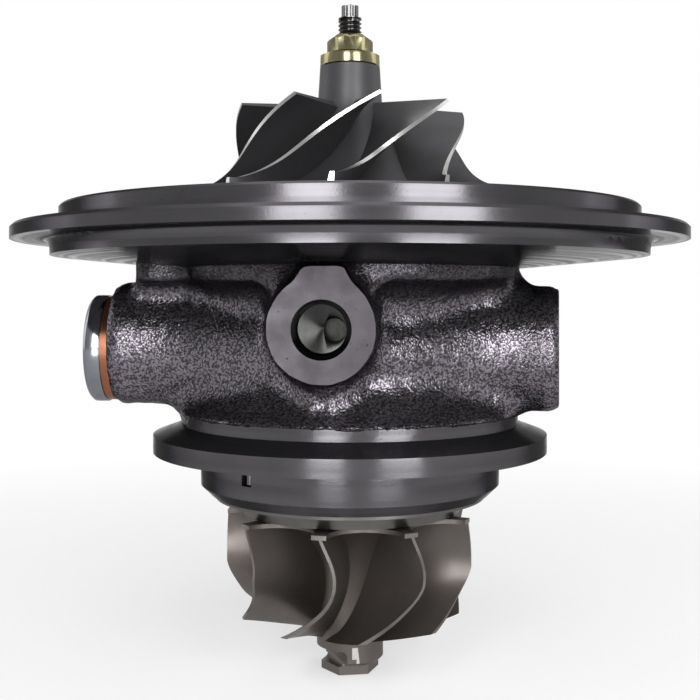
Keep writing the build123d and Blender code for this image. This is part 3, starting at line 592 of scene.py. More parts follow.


@dataclass(frozen=True)
class MetalFinish:
    """A metal surface: its colours, gloss and the depth of its marks.

    Attributes:
        name: Name of the material.
        base: Linear colour where the metal is clean.
        shade: Linear colour where it is stained.
        metallic: Share of metal.
        rough_low: Roughness where it is clean.
        rough_high: Roughness where it is stained.
        grain_size: Size of the grain.
        grain_depth: Depth of the grain's bump, or 0 for no grain.
        ring_spacing: Spacing of the turning marks.
        ring_depth: Depth of the turning marks' bump, or 0 for none.
        speck_size: Spacing of the specks.
        speck_amount: How large and frequent the specks are, or 0 for none.
        speck_tone: Linear colour of the specks.
        blotch_size: Size of the stains.
        edge_tint: Reflectance at grazing angles.
        pit_share: How much of their own tone the grain's pits show.
        pit_tone: Linear colour of the pits.
        painted_shade_low: Height where the painted shade under the disc sets in.
        painted_shade_high: Height where the painted shade is full.
        painted_shade_share: How much of its own tone the full painted shade shows, or 0 for none.
        painted_shade_tone: Linear colour of the painted shade.
    """

    name: str
    base: tuple[float, float, float]
    shade: tuple[float, float, float]
    metallic: float = 1.0
    rough_low: float = 0.25
    rough_high: float = 0.45
    grain_size: float = 0.0
    grain_depth: float = 0.0
    ring_spacing: float = 0.0
    ring_depth: float = 0.0
    speck_size: float = 1.5 * MM
    speck_amount: float = 0.0
    speck_tone: tuple[float, float, float] = (0.5, 0.5, 0.5)
    blotch_size: float = 25.0 * MM
    edge_tint: float = 0.6
    pit_share: float = 0.0
    pit_tone: tuple[float, float, float] = (0.01, 0.01, 0.01)
    painted_shade_low: float = 0.0
    painted_shade_high: float = 0.0
    painted_shade_share: float = 0.0
    painted_shade_tone: tuple[float, float, float] = (0.02, 0.02, 0.02)

    def make(self, groups: EffectGroups) -> bpy.types.Material:
        """Build the material.

        Args:
            groups: The shared effect groups.

        Returns:
            The new material.
        """
        material = bpy.data.materials.new(self.name)
        material.use_nodes = True
        line = NodeLine(material.node_tree)
        line.tree.nodes.clear()
        place = line.add("ShaderNodeTexCoord").outputs["Object"]

        def effect(tree: bpy.types.NodeTree, **values: float) -> bpy.types.Node:
            """Place a shared effect with this finish's own values."""
            return line.add("ShaderNodeGroup", {"Vector": place, **values}, node_tree=tree)

        blotch = effect(groups.blotches, Size=self.blotch_size)
        tone = line.mix(blotch.outputs["Fac"], colour(*self.shade), colour(*self.base))
        rough = line.ramp(blotch.outputs["Fac"], 0.0, 1.0, self.rough_high, self.rough_low)
        normal = None
        if self.grain_depth:
            grain = effect(groups.grain, Size=self.grain_size)
            if self.pit_share:
                pits = line.math("MULTIPLY", grain.outputs["Pits"], self.pit_share)
                tone = line.mix(pits, tone, colour(*self.pit_tone))
            normal = line.bump(grain.outputs["Height"], self.grain_depth, normal)
        if self.ring_depth:
            rings = effect(groups.turning, Spacing=self.ring_spacing)
            share = line.ramp(rings.outputs["Tone"], 0.35, 0.65, 0.0, RING_SHARE)
            tone = line.mix(share, tone, colour(*(RING_TONE * part for part in self.shade)))
            change = line.ramp(rings.outputs["Tone"], 0.3, 0.7, *RING_ROUGHNESS)
            rough = line.math("ADD", rough, change)
            normal = line.bump(rings.outputs["Height"], self.ring_depth, normal)
        if self.speck_amount:
            specks = effect(groups.specks, Size=self.speck_size, Amount=self.speck_amount)
            tone = line.mix(specks.outputs["Mask"], tone, colour(*self.speck_tone))
        # Painted shade under the disc: the colour gets darker with height towards the disc's
        # underside, with a ragged edge.
        if self.painted_shade_share:
            height = line.add("ShaderNodeSeparateXYZ", {0: place}).outputs[2]
            wander = line.ramp(blotch.outputs["Fac"], 0.0, 1.0, -PAINTED_SHADE_RAGGED, PAINTED_SHADE_RAGGED)
            ragged = line.math("ADD", height, wander)
            painted_shade = line.ramp(ragged, self.painted_shade_low, self.painted_shade_high, 0.0, self.painted_shade_share)
            tone = line.mix(painted_shade, tone, colour(*self.painted_shade_tone))
        shader = line.add("ShaderNodeBsdfPrincipled", {"Base Color": tone, "Roughness": rough})
        shader.inputs["Metallic"].default_value = self.metallic
        shader.inputs["Specular Tint"].default_value = colour(*[self.edge_tint] * 3)
        if normal is not None:
            line.tree.links.new(normal, shader.inputs["Normal"])
        line.add("ShaderNodeOutputMaterial", {"Surface": shader.outputs["BSDF"]})
        return material


# The cast skin's last four values paint shade under the disc: its colour darkens from 47 mm up to
# 57 mm.
CAST_SKIN = MetalFinish(
    "cast_skin", (0.21, 0.192, 0.217), (0.13, 0.118, 0.134), metallic=0.9, rough_low=0.2,
    rough_high=0.28, grain_size=0.68 * MM, grain_depth=0.25 * MM, edge_tint=0.3, pit_share=0.8,
    pit_tone=(0.016, 0.0145, 0.017), painted_shade_low=47 * MM, painted_shade_high=57 * MM, painted_shade_share=0.7,
    painted_shade_tone=(0.02, 0.0185, 0.021),
)
TURNED_IRON = MetalFinish(
    "turned_iron", (0.098, 0.094, 0.101), (0.075, 0.072, 0.078), metallic=0.88, rough_low=0.15,
    rough_high=0.21, grain_size=0.55 * MM, grain_depth=0.011 * MM, ring_spacing=0.35 * MM,
    ring_depth=0.0015 * MM, speck_size=1.7 * MM, speck_amount=0.06,
    speck_tone=(0.04, 0.038, 0.04), edge_tint=0.12,
)
# Bores and port threads: iron darkened far below the turned iron, a painted shade inside the ports.
BORED_IRON_PAINTED_SHADE = MetalFinish(
    "bored_iron_painted_shade", (0.038, 0.039, 0.037), (0.022, 0.023, 0.022), rough_low=0.2, rough_high=0.28,
    grain_size=1.6 * MM, grain_depth=0.03 * MM, edge_tint=0.4,
)
MILLED_FACE = MetalFinish(
    "milled_face", (0.066, 0.061, 0.068), (0.046, 0.042, 0.047), rough_low=0.34,
    rough_high=0.46, grain_size=0.5 * MM, grain_depth=0.03 * MM, speck_size=1.9 * MM,
    speck_amount=0.12, speck_tone=(0.02, 0.018, 0.02), blotch_size=7.0 * MM,
)
WHEEL_BLADE = MetalFinish(
    "wheel_blade", (0.058, 0.056, 0.06), (0.043, 0.042, 0.045), metallic=0.5, rough_low=0.42,
    rough_high=0.52, grain_size=0.5 * MM, grain_depth=0.012 * MM,
)
WHEEL_TIP = MetalFinish(
    "wheel_tip", (0.56, 0.555, 0.545), (0.3, 0.297, 0.29), rough_low=0.24, rough_high=0.38,
    blotch_size=14.0 * MM,
)
TURBINE_BLADE = MetalFinish(
    "turbine_blade", (0.16, 0.141, 0.132), (0.112, 0.099, 0.092), metallic=0.8, rough_low=0.34,
    rough_high=0.46, grain_size=0.55 * MM, grain_depth=0.035 * MM, speck_size=2.6 * MM,
    speck_amount=0.04, speck_tone=(0.24, 0.22, 0.2),
)
TURBINE_TIP = MetalFinish(
    "turbine_tip", (0.24, 0.228, 0.212), (0.1, 0.094, 0.088), rough_low=0.22, rough_high=0.36,
    blotch_size=14.0 * MM,
)
GROUND_MARK = MetalFinish(
    "ground_mark", (0.75, 0.74, 0.72), (0.6, 0.59, 0.57), rough_low=0.2, rough_high=0.3,
)
GROUND_STEEL = MetalFinish(
    "ground_steel", (0.5, 0.5, 0.5), (0.35, 0.35, 0.35), rough_low=0.18, rough_high=0.3,
)
DARK_STEEL = MetalFinish(
    "dark_steel", (0.12, 0.117, 0.12), (0.075, 0.073, 0.076), rough_low=0.18, rough_high=0.28,
)
YELLOW_ZINC = MetalFinish(
    "yellow_zinc", (0.3, 0.275, 0.155), (0.15, 0.138, 0.078), rough_low=0.13, rough_high=0.2,
    blotch_size=8.0 * MM, speck_size=1.2 * MM, speck_amount=0.06, speck_tone=(0.12, 0.11, 0.06),
)
BRIGHT_ZINC = MetalFinish(
    "bright_zinc", (0.32, 0.325, 0.35), (0.15, 0.155, 0.18), rough_low=0.12, rough_high=0.22,
)
COPPER = MetalFinish(
    "copper_ring", (0.33, 0.14, 0.075), (0.2, 0.08, 0.05), rough_low=0.22, rough_high=0.34,
)
BRONZE = MetalFinish(
    "bearing_bronze", (0.55, 0.4, 0.2), (0.4, 0.28, 0.13), rough_low=0.22, rough_high=0.35,
    ring_spacing=0.3 * MM, ring_depth=0.004 * MM,
)
SHEET_STEEL = MetalFinish(
    "sheet_steel", (0.16, 0.152, 0.145), (0.1, 0.096, 0.092), rough_low=0.26, rough_high=0.36,
)
RUBBER = MetalFinish(
    "seal_rubber", (0.02, 0.02, 0.02), (0.012, 0.012, 0.012), metallic=0.0, rough_low=0.5,
    rough_high=0.65, grain_size=0.8 * MM, grain_depth=0.01 * MM,
)

NODE_FINISHES = {
    "cast_iron": TURNED_IRON,
    "machined_steel": GROUND_STEEL,
    "dark_steel": DARK_STEEL,
    "turbine_alloy": TURBINE_BLADE,
    "compressor_alloy": WHEEL_BLADE,
    "yellow_zinc": YELLOW_ZINC,
    "bright_zinc": BRIGHT_ZINC,
    "copper": COPPER,
    "bearing_bronze": BRONZE,
    "sheet_steel": SHEET_STEEL,
    "seal_rubber": RUBBER,
}


class Workshop:
    """Makes each finish once and hands it out."""

    def __init__(self) -> None:
        """Build the shared groups."""
        self.groups = EffectGroups()
        self.made: dict[str, bpy.types.Material] = {}

    def material(self, finish: MetalFinish) -> bpy.types.Material:
        """Material of a finish, made when it is first asked for.

        Args:
            finish: Finish to make.

        Returns:
            The finish's only material.
        """
        if finish.name not in self.made:
            self.made[finish.name] = finish.make(self.groups)
        return self.made[finish.name]

    def dress(self, thing: bpy.types.Object, *finishes: MetalFinish) -> bpy.types.Object:
        """Give a piece its materials in slot order.

        Args:
            thing: Object to work on.
            *finishes: Finishes of slots 0, 1 and so on.

        Returns:
            The same object.
        """
        thing.data.materials.clear()
        for finish in finishes:
            thing.data.materials.append(self.material(finish))
        return thing


def paint(thing: bpy.types.Object, slot: int, wanted: Callable[[Vector, Vector], bool]) -> None:
    """Give faces another material slot by their place.

    Args:
        thing: Mesh object.
        slot: Number of the material slot.
        wanted: Says from a face's centre and normal whether it is meant.
    """
    for face in thing.data.polygons:
        if wanted(face.center, face.normal):
            face.material_index = slot


def report(piece: bpy.types.Object) -> None:
    """Log a finished piece and its number of faces."""
    LOG.info("%s: %d faces", piece.name, len(piece.data.polygons))


# Sub-assemblies


@dataclass
class PortSize:
    """A threaded port in a boss: where its mouth is, where it points and its bore.

    Attributes:
        mouth: Middle of the mouth.
        outward: Unit vector out of the mouth.
        minor: Radius inside the thread's crests.
        major: Radius of the bore, at the thread's root.
        pitch: Pitch of the thread.
        depth: Depth of the bore.
        chamfer: Width of the chamfer at the mouth.
        drill_point: Length of the drill's cone behind the bore, or 0 for none.
        passage: How much further in a face still counts as the port's.
        milling_r: Radius of the flat that is milled round the mouth.
        milling_height: Height of the cutter that mills it.
        drill_tip: Radius at the tip of the drill's cone.
    """

    mouth: Vector
    outward: Vector
    minor: float
    major: float
    pitch: float
    depth: float
    chamfer: float
    drill_point: float = 0.0
    passage: float = 0.0
    milling_r: float = 34.0 * MM
    milling_height: float = 12.0 * MM
    drill_tip: float = 0.3 * MM

    def place(self) -> Matrix:
        """Matrix from the Z axis to the port, with Z pointing out of the mouth."""
        turn = self.outward.to_track_quat("Z", "Y").to_matrix().to_4x4()
        return Matrix.Translation(self.mouth) @ turn

    def along(self, at: Vector) -> float:
        """Distance of a point out of the mouth's plane."""
        return (at - self.mouth).dot(self.outward)

    def away(self, at: Vector) -> float:
        """Distance of a point from the port's axis."""
        return ((at - self.mouth) - self.outward * self.along(at)).length

    def facing(self, name: str) -> bpy.types.Object:
        """Solid that mills the boss flat at the mouth."""
        top = self.mouth + self.outward * self.milling_height
        return cylinder(name, self.milling_r, self.mouth, top)

    def cutters(self, name: str) -> list[bpy.types.Object]:
        """Solids that bore the port out: its bore, the chamfer at its mouth and the drill's point.

        Args:
            name: Name of the bore; the others add to it.

        Returns:
            The cutters, which overlap a little.
        """
        back = self.mouth - self.outward * self.depth
        tools = [
            cylinder(name, self.major, back, self.mouth + self.outward * CLEAR),
            cylinder(
                name + "_lip",
                self.major - LAP,
                self.mouth - self.outward * (self.chamfer + LAP),
                self.mouth + self.outward * self.chamfer,
                self.major + 2 * self.chamfer,
            ),
        ]
        if self.drill_point:
            end = back - self.outward * self.drill_point
            start = back + self.outward * 3 * LAP
            wide = self.major - 2 * LAP
            tools.append(cylinder(name + "_point", self.drill_tip, end, start, wide, sides=90))
        return tools

    def ridge(self, name: str) -> bpy.types.Object:
        """Internal thread of the port.

        Args:
            name: Name of the piece.

        Returns:
            The thread's ridge.
        """
        turns = (self.depth - 2 * self.chamfer) / self.pitch
        start = Matrix.Translation((0, 0, -self.depth + self.chamfer * 0.5))
        return thread(name, self.major, self.minor, self.pitch, turns, self.place() @ start)


def water_port(mouth: Vector, outward: Vector) -> PortSize:
    """Size of a water port, of which the housing has two.

    Args:
        mouth: Middle of its mouth, in millimetres.
        outward: Unit vector out of it.

    Returns:
        The port.
    """
    return PortSize(
        mouth=mouth * MM,
        outward=outward,
        minor=14.2 * MM,
        major=15.0 * MM,
        pitch=1.5 * MM,
        depth=20.0 * MM,
        chamfer=0.6 * MM,
    )


@dataclass
class BearingHousing:
    """The cast bearing housing: machined ends from the frame, and a blended cast middle.

    Attributes:
        low: Height where the lower machined end gives way to the casting.
        underside: Height of the disc's underside at the collar.
        collar: Radius of the round collar under the disc.
        underside_rise: Slope of the disc's coned underside.
        slab_top: Height inside the disc that the middle's solids are carried up to.
        web_reach: How far the web over the plugged port reaches from the axis.
        web_half_width: Half of the web's width.
        web_corner: Radius of the web's corners.
        slab_reach: Radius of the zone that holds the cast middle.
        overlap: How far the cast middle runs into the lower end.
        core: Radius of the bored core.
        core_top: Height that the core's cutters reach.
        core_fill: Radius of the solid that closes the core.
        reach: A radius beyond the whole housing.
        blend: How far the surface goes out and back, which rounds the inner corners.
        voxel: Grain of the finished casting's mesh.
        rough_voxel: Grain of the mesh while it is blended.
        tail_low: Lowest corner of the zone round the plugged port.
        tail_high: Highest corner of that zone.
        web_end_low: Lowest corner of the cut that ends the web.
        web_end_high: Highest corner of that cut.
        front_face: Place of the oil boss's milled face along Y.
        drain_face: Place of the drain pad's milled face along Y.
        drain_height: Height of the drain's axis.
        drain_radius: Radius of the drain.
        drain_depth: Depth of the drain.
        drain_fill: Radius of the solid that closes the drain.
        drain_bolt_radius: Radius of the drain's bolt holes.
        drain_bolt_place: Distance of the bolt holes from the drain.
        drain_bolt_depth: Depth of the bolt holes.
        drain_bolt_fill: Radius of the solids that close them.
        port_wall: How much wider than its bore a port's closing solid is.
        jacket_reach: Distance from the axis where the water passages start.
        passage: Radius of the water passages.
        feed_passage: Radius of the oil feed behind the oil port.
        feed_shift: Offset of the oil feed from the port's axis.
        feed_length: Length of the oil feed.
        oil: The oil inlet in front.
        open_port: The open water port on the right.
        plugged_port: The water port on the left, which the plug closes.
    """

    low: float = 12.6 * MM
    underside: float = 60.05 * MM
    collar: float = 56.4 * MM
    underside_rise: float = 0.0889
    slab_top: float = 66.0 * MM
    web_reach: float = 69.5 * MM
    web_half_width: float = 21.0 * MM
    web_corner: float = 6.0 * MM
    slab_reach: float = 78.0 * MM
    overlap: float = 1.6 * MM
    core: float = 36.0 * MM
    core_top: float = 80.0 * MM
    core_fill: float = 40.0 * MM
    reach: float = 130.0 * MM
    blend: float = 4.2 * MM
    voxel: float = 0.9 * MM
    rough_voxel: float = 1.3 * MM
    tail_low: Vector = field(default_factory=lambda: Vector((-90, -24, 8)) * MM)
    tail_high: Vector = field(default_factory=lambda: Vector((-40, 24, 58)) * MM)
    web_end_low: Vector = field(default_factory=lambda: Vector((-90, -30, 55.5)) * MM)
    web_end_high: Vector = field(default_factory=lambda: Vector((-69.6, 30, 62)) * MM)
    front_face: float = -62.0 * MM
    drain_face: float = 62.0 * MM
    drain_height: float = 33.0 * MM
    drain_radius: float = 11.5 * MM
    drain_depth: float = 44.0 * MM
    drain_fill: float = 12.5 * MM
    drain_bolt_radius: float = 3.4 * MM
    drain_bolt_place: float = 26.0 * MM
    drain_bolt_depth: float = 14.0 * MM
    drain_bolt_fill: float = 4.5 * MM
    port_wall: float = 1.2 * MM
    jacket_reach: float = 28.0 * MM
    passage: float = 11.0 * MM
    feed_passage: float = 3.4 * MM
    feed_shift: Vector = field(default_factory=lambda: Vector((3.6, 0, -0.4)) * MM)
    feed_length: float = 13.0 * MM
    oil: PortSize = field(
        default_factory=lambda: PortSize(
            mouth=Vector((-8.1, -62.0, 41.3)) * MM,
            outward=Vector((0, -1, 0)),
            minor=7.2 * MM,
            major=7.9 * MM,
            pitch=1.5 * MM,
            depth=14.0 * MM,
            chamfer=0.7 * MM,
            drill_point=3.5 * MM,
            passage=14.0 * MM,
        )
    )
    open_port: PortSize = field(
        default_factory=lambda: water_port(
            Vector((68.18, -13.50, 33.5)), Vector((0.980955, -0.194234, 0))
        )
    )
    plugged_port: PortSize = field(
        default_factory=lambda: water_port(Vector((-78.4, 0, 33.5)), Vector((-1, 0, 0)))
    )

    def drain_holes(self) -> list[tuple[float, float, float, float]]:
        """Sideways place, radius, depth and filler radius of the drain and its bolt holes.

        Returns:
            One row for each hole in the drain's pad.
        """
        bolt = (self.drain_bolt_radius, self.drain_bolt_depth, self.drain_bolt_fill)
        return [
            (0, self.drain_radius, self.drain_depth, self.drain_fill),
            (self.drain_bolt_place, *bolt),
            (-self.drain_bolt_place, *bolt),
        ]

    def disc_space(self) -> bpy.types.Object:
        """Space above the disc's coned underside.

        Returns:
            The new solid.
        """
        height = 7 * MM
        return cylinder(
            "disc_space",
            self.collar,
            Vector((0, 0, self.underside)),
            Vector((0, 0, self.underside + height)),
            self.collar + height / self.underside_rise,
            sides=256,
        )

    def machined_ends(self) -> bpy.types.Object:
        """Disc, clamp flange, pilots and inner bores, straight from the frame.

        Returns:
            The ends as one piece.
        """
        ends = merged_copy("bearing_housing", "housing_machined")
        zone = upright("middle_zone", self.reach, self.low, self.slab_top, sides=256)
        combine(zone, self.disc_space(), "DIFFERENCE")
        middle = upright("middle_core", self.core, 0, self.core_top, sides=128)
        combine(zone, middle, "DIFFERENCE")
        return combine(ends, zone, "DIFFERENCE")

    def fillers(self) -> list[bpy.types.Object]:
        """Solids that close the bores for a while, so that the blending leaves them alone.

        Returns:
            The solids, in no order.
        """
        inside = 0.15 * MM
        plugs = [upright("core_fill", self.core_fill, self.low - self.overlap, self.slab_top)]
        for port in (self.oil, self.open_port, self.plugged_port):
            centre = Vector((0, 0, port.mouth.z))
            if port is self.oil:
                centre.x = port.mouth.x
            end = port.mouth - port.outward * inside
            plugs.append(cylinder("port_fill", port.major + self.port_wall, centre, end))
        for place, _, _, fill in self.drain_holes():
            start = Vector((place, 20 * MM, self.drain_height))
            end = Vector((place, self.drain_face - inside, self.drain_height))
            plugs.append(cylinder("drain_fill", fill, start, end))
        return plugs

    def risers(self) -> list[bpy.types.Object]:
        """Collar and web carried on upwards, which keeps their edges crisp under the disc.

        Returns:
            The solids, in no order.
        """
        low, high = self.underside - 4 * MM, self.slab_top
        rising = [upright("collar_rise", self.collar - LAP, low, high, sides=192)]
        near = -40 * MM
        inner = self.web_half_width - self.web_corner
        corner = -self.web_reach + self.web_corner
        for far, half in ((-self.web_reach, inner), (corner, self.web_half_width)):
            rising.append(box("web_rise", Vector((far, -half, low)), Vector((near, half, high))))
        for side in (-inner, inner):
            start, end = Vector((corner, side, low)), Vector((corner, side, high))
            rising.append(cylinder("web_rise", self.web_corner, start, end, sides=48))
        return rising

    def cast_middle(self) -> bpy.types.Object:
        """Outer casting between the flanges, with rounded corners and a faintly uneven skin.

        Returns:
            The casting, before its faces and bores are cut.
        """
        skin = merged_copy("bearing_housing", "housing_casting")
        zone = upright("skin_zone", self.slab_reach, self.low - self.overlap, self.slab_top)
        combine(zone, box("plug_zone", self.tail_low, self.tail_high), "UNION")
        combine(skin, zone, "INTERSECT")
        combine(skin, self.disc_space(), "DIFFERENCE")
        skin = join([skin, *self.fillers(), *self.risers()], "housing_casting")
        for shift in (self.blend, -self.blend):
            apply_modifier(skin, "REMESH", mode="VOXEL", voxel_size=self.rough_voxel)
            apply_modifier(skin, "DISPLACE", strength=shift, mid_level=0.0)
        apply_modifier(skin, "REMESH", mode="VOXEL", voxel_size=self.voxel)
        apply_modifier(skin, "SMOOTH", factor=0.5, iterations=4)
        self.roughen(skin)
        self.square_faces(skin)
        return skin

    def roughen(self, skin: bpy.types.Object) -> None:
        """Uneven the skin a little, as sand casting leaves it, but not where it meets the disc.

        Args:
            skin: The cast middle.
        """
        pattern = bpy.data.textures.new("casting_swell", "CLOUDS")
        pattern.noise_scale = 4 * MM
        pattern.noise_depth = 2
        group = skin.vertex_groups.new(name="uneven")
        fade = 2 * MM
        plain_share = 0.3
        for vertex in skin.data.vertices:
            share = (self.underside - vertex.co.z) / fade - plain_share
            if share > 0:
                group.add([vertex.index], min(1.0, share), "REPLACE")
        apply_modifier(
            skin,
            "DISPLACE",
            texture=pattern,
            texture_coords="GLOBAL",
            strength=0.5 * MM,
            mid_level=0.5,
            vertex_group=group.name,
        )

    def square_faces(self, skin: bpy.types.Object) -> None:
        """Push the boss faces out and tuck the lower end in, ready for the flat cuts.

        Args:
            skin: The cast middle.
        """
        lift = 1.2 * MM
        band = 1.6 * MM
        end_lift = 0.45 * MM
        end_band = 0.9 * MM
        tuck = 0.3 * MM
        drain_half_width = 40 * MM
        ring_reach = 60 * MM
        for vertex in skin.data.vertices:
            place = vertex.co
            if place.y < self.front_face + band:
                place.y -= lift
            if place.y > self.drain_face - band and abs(place.x) < drain_half_width:
                place.y += lift
            for port in (self.open_port, self.plugged_port):
                if port.along(place) > -end_band and port.away(place) < port.milling_r:
                    vertex.co = place + port.outward * end_lift
            if place.z < self.low:
                radius = math.hypot(place.x, place.y)
                if radius < ring_reach:
                    shrink = 1 - tuck / max(radius, 1 * MM)
                    place.x *= shrink
                    place.y *= shrink

    def cut_faces_and_bores(self, skin: bpy.types.Object) -> None:
        """Mill the boss faces flat and bore the ports.

        Args:
            skin: The cast middle.
        """
        wide = 120 * MM
        high = 100 * MM
        core_lap = 0.3 * MM
        tools = [
            box("front_cut", Vector((-wide, -wide, 0)), Vector((wide, self.front_face, high))),
            box("rear_cut", Vector((-wide, self.drain_face, 0)), Vector((wide, wide, high))),
            upright("core_cut", self.core - core_lap, 0, self.core_top, sides=128),
            self.disc_space(),
            box("web_end_cut", self.web_end_low, self.web_end_high),
            *self.oil.cutters("oil_cut"),
        ]
        feed = self.oil.mouth - self.oil.outward * (self.oil.depth - CLEAR) + self.feed_shift
        feed_end = feed - self.oil.outward * self.feed_length
        tools.append(cylinder("feed_cut", self.feed_passage, feed, feed_end))
        for port in (self.open_port, self.plugged_port):
            tools.append(port.facing("port_face_cut"))
            tools.extend(port.cutters("water_cut"))
            inner = Vector((0, 0, port.mouth.z)) + port.outward * self.jacket_reach
            outer = port.mouth - port.outward * 10 * MM
            tools.append(cylinder("passage_cut", self.passage, inner, outer))
        for place, radius, depth, _ in self.drain_holes():
            mouth = Vector((place, self.drain_face + CLEAR, self.drain_height))
            end = mouth - Vector((0, depth + CLEAR, 0))
            tools.append(cylinder("drain_cut", radius, end, mouth))
        for tool in tools:
            combine(skin, tool, "DIFFERENCE")

    def paint_zones(self, skin: bpy.types.Object) -> None:
        """Machined faces and bores get their own finishes.

        Args:
            skin: The cast middle.
        """
        flat = 0.02 * MM
        milled = (self.front_face, self.drain_face)

        def on_plane(at: Vector, facing: Vector) -> bool:
            """Whether a face lies in the front or the rear milled plane."""
            return abs(facing.y) > STRAIGHT and any(abs(at.y - place) < flat for place in milled)

        paint(skin, CastZone.MACHINED.value, on_plane)
        for port in (self.oil, self.open_port, self.plugged_port):
            deepest = port.depth + port.drill_point + port.passage + 1 * MM

            def on_face(at: Vector, facing: Vector) -> bool:
                """Whether a face lies in the plane of the port's mouth."""
                return abs(port.along(at)) < flat and facing.dot(port.outward) > STRAIGHT

            def in_port(at: Vector, facing: Vector) -> bool:
                """Whether a face lies inside the port."""
                inside = -deepest < port.along(at) < -flat / 2
                return inside and port.away(at) < port.major + port.chamfer + LAP

            paint(skin, CastZone.MACHINED.value, on_face)
            paint(skin, CastZone.BORE.value, in_port)
        for face in skin.data.polygons:
            face.use_smooth = face.material_index != CastZone.MACHINED.value

    def cast_wafer(self, at: Vector, facing: Vector) -> bool:
        """Whether a face of the machined ends is the casting's last edge under the disc.

        Args:
            at: Centre of the face.
            facing: Normal of the face.

        Returns:
            True for a face with the cast finish.
        """
        inner = 50 * MM
        wafer = 0.12 * MM
        radius = math.hypot(at.x, at.y)
        top = self.underside + (radius - self.collar) * self.underside_rise + wafer
        return radius > inner and self.low < at.z < top

    def build(self, shop: Workshop) -> None:
        """Build and dress the housing.

        Args:
            shop: Workshop that hands out finishes.
        """
        ends = self.machined_ends()
        smooth(ends, 25)
        shop.dress(ends, TURNED_IRON, CAST_SKIN)
        paint(ends, EndZone.CAST.value, self.cast_wafer)
        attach(ends, "housing")
        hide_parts("bearing_housing")
        report(ends)
        skin = self.cast_middle()
        self.cut_faces_and_bores(skin)
        smooth(skin, 40)
        shop.dress(skin, CAST_SKIN, MILLED_FACE, BORED_IRON_PAINTED_SHADE)
        self.paint_zones(skin)
        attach(skin, "housing")
        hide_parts("bearing_housing")
        report(skin)
        for name, port in (("oil_port_thread", self.oil), ("water_port_thread", self.open_port)):
            ridge = port.ridge(name)
            shop.dress(ridge, BORED_IRON_PAINTED_SHADE)
            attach(ridge, "housing")
            report(ridge)


@dataclass
class Wheel:
    """A bladed wheel of the rotor, dressed with bright machined blade tips.

    Attributes:
        node: Node of the frame that it replaces.
        slot: Name of its material slot.
        blade: Finish of the blades and the hub.
        tip: Finish of the blade tips.
        tip_line: Radii and heights of the blades' outer contour.
        marks: Lowest and highest corner of each balance mark.
        tolerance: How close to the contour a face of a tip lies.
        side_share: How far a tip's face may look sideways.
        outward_share: How far it has to look outwards.
        crease: Angle from which an edge stays crisp.
    """

    node: str
    # slot: Name of its material slot; not used.
    slot: str
    blade: MetalFinish
    tip: MetalFinish
    tip_line: Sequence[tuple[float, float]]
    marks: Sequence[tuple[Vector, Vector]] = ()
    tolerance: float = 0.8 * MM
    side_share: float = 0.35
    outward_share: float = 0.1
    crease: float = 28.0

    def near_tips(self, at: Vector) -> bool:
        """Whether a point is close to the blades' outer contour, seen in section.

        Args:
            at: Point to test.

        Returns:
            True within the tolerance.
        """
        place = Vector((math.hypot(at.x, at.y), at.z))
        for start, end in zip(self.tip_line, self.tip_line[1:]):
            low, high = Vector(start), Vector(end)
            along = high - low
            share = min(1.0, max(0.0, (place - low).dot(along) / along.length_squared))
            if (place - low - along * share).length < self.tolerance:
                return True
        return False

    def on_tip(self, at: Vector, facing: Vector) -> bool:
        """Whether a face lies on the blades' machined contour and faces straight out of it.

        Args:
            at: Centre of the face.
            facing: Normal of the face.

        Returns:
            True for a face with the bright finish.
        """
        outward = Vector((at.x, at.y, 0)).normalized()
        if facing.dot(outward) <= self.outward_share:
            return False
        sideways = abs(facing.dot(Vector((-outward.y, outward.x, 0))))
        return sideways < self.side_share and self.near_tips(at)

    def grind_marks(self, wheel: bpy.types.Object) -> None:
        """Grind the small balance marks in, and brighten their floors.

        Args:
            wheel: The wheel.
        """
        for low, high in self.marks:
            combine(wheel, box("balance_mark", low, high), "DIFFERENCE")
            edge = 0.02 * MM

            def in_mark(at: Vector, facing: Vector) -> bool:
                """Whether a face lies inside the mark."""
                return all(low[i] - edge < at[i] < high[i] + edge for i in range(3))

            paint(wheel, WheelZone.MARK.value, in_mark)

    def build(self, shop: Workshop) -> None:
        """Build and dress the wheel.

        Args:
            shop: Workshop that hands out finishes.
        """
        wheel = merged_copy(self.node, self.node + "_dressed")
        shop.dress(wheel, self.blade, self.tip, GROUND_MARK)
        self.grind_marks(wheel)
        smooth(wheel, self.crease)
        paint(wheel, WheelZone.TIP.value, self.on_tip)
        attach(wheel, "rotor")
        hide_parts(self.node)
        report(wheel)


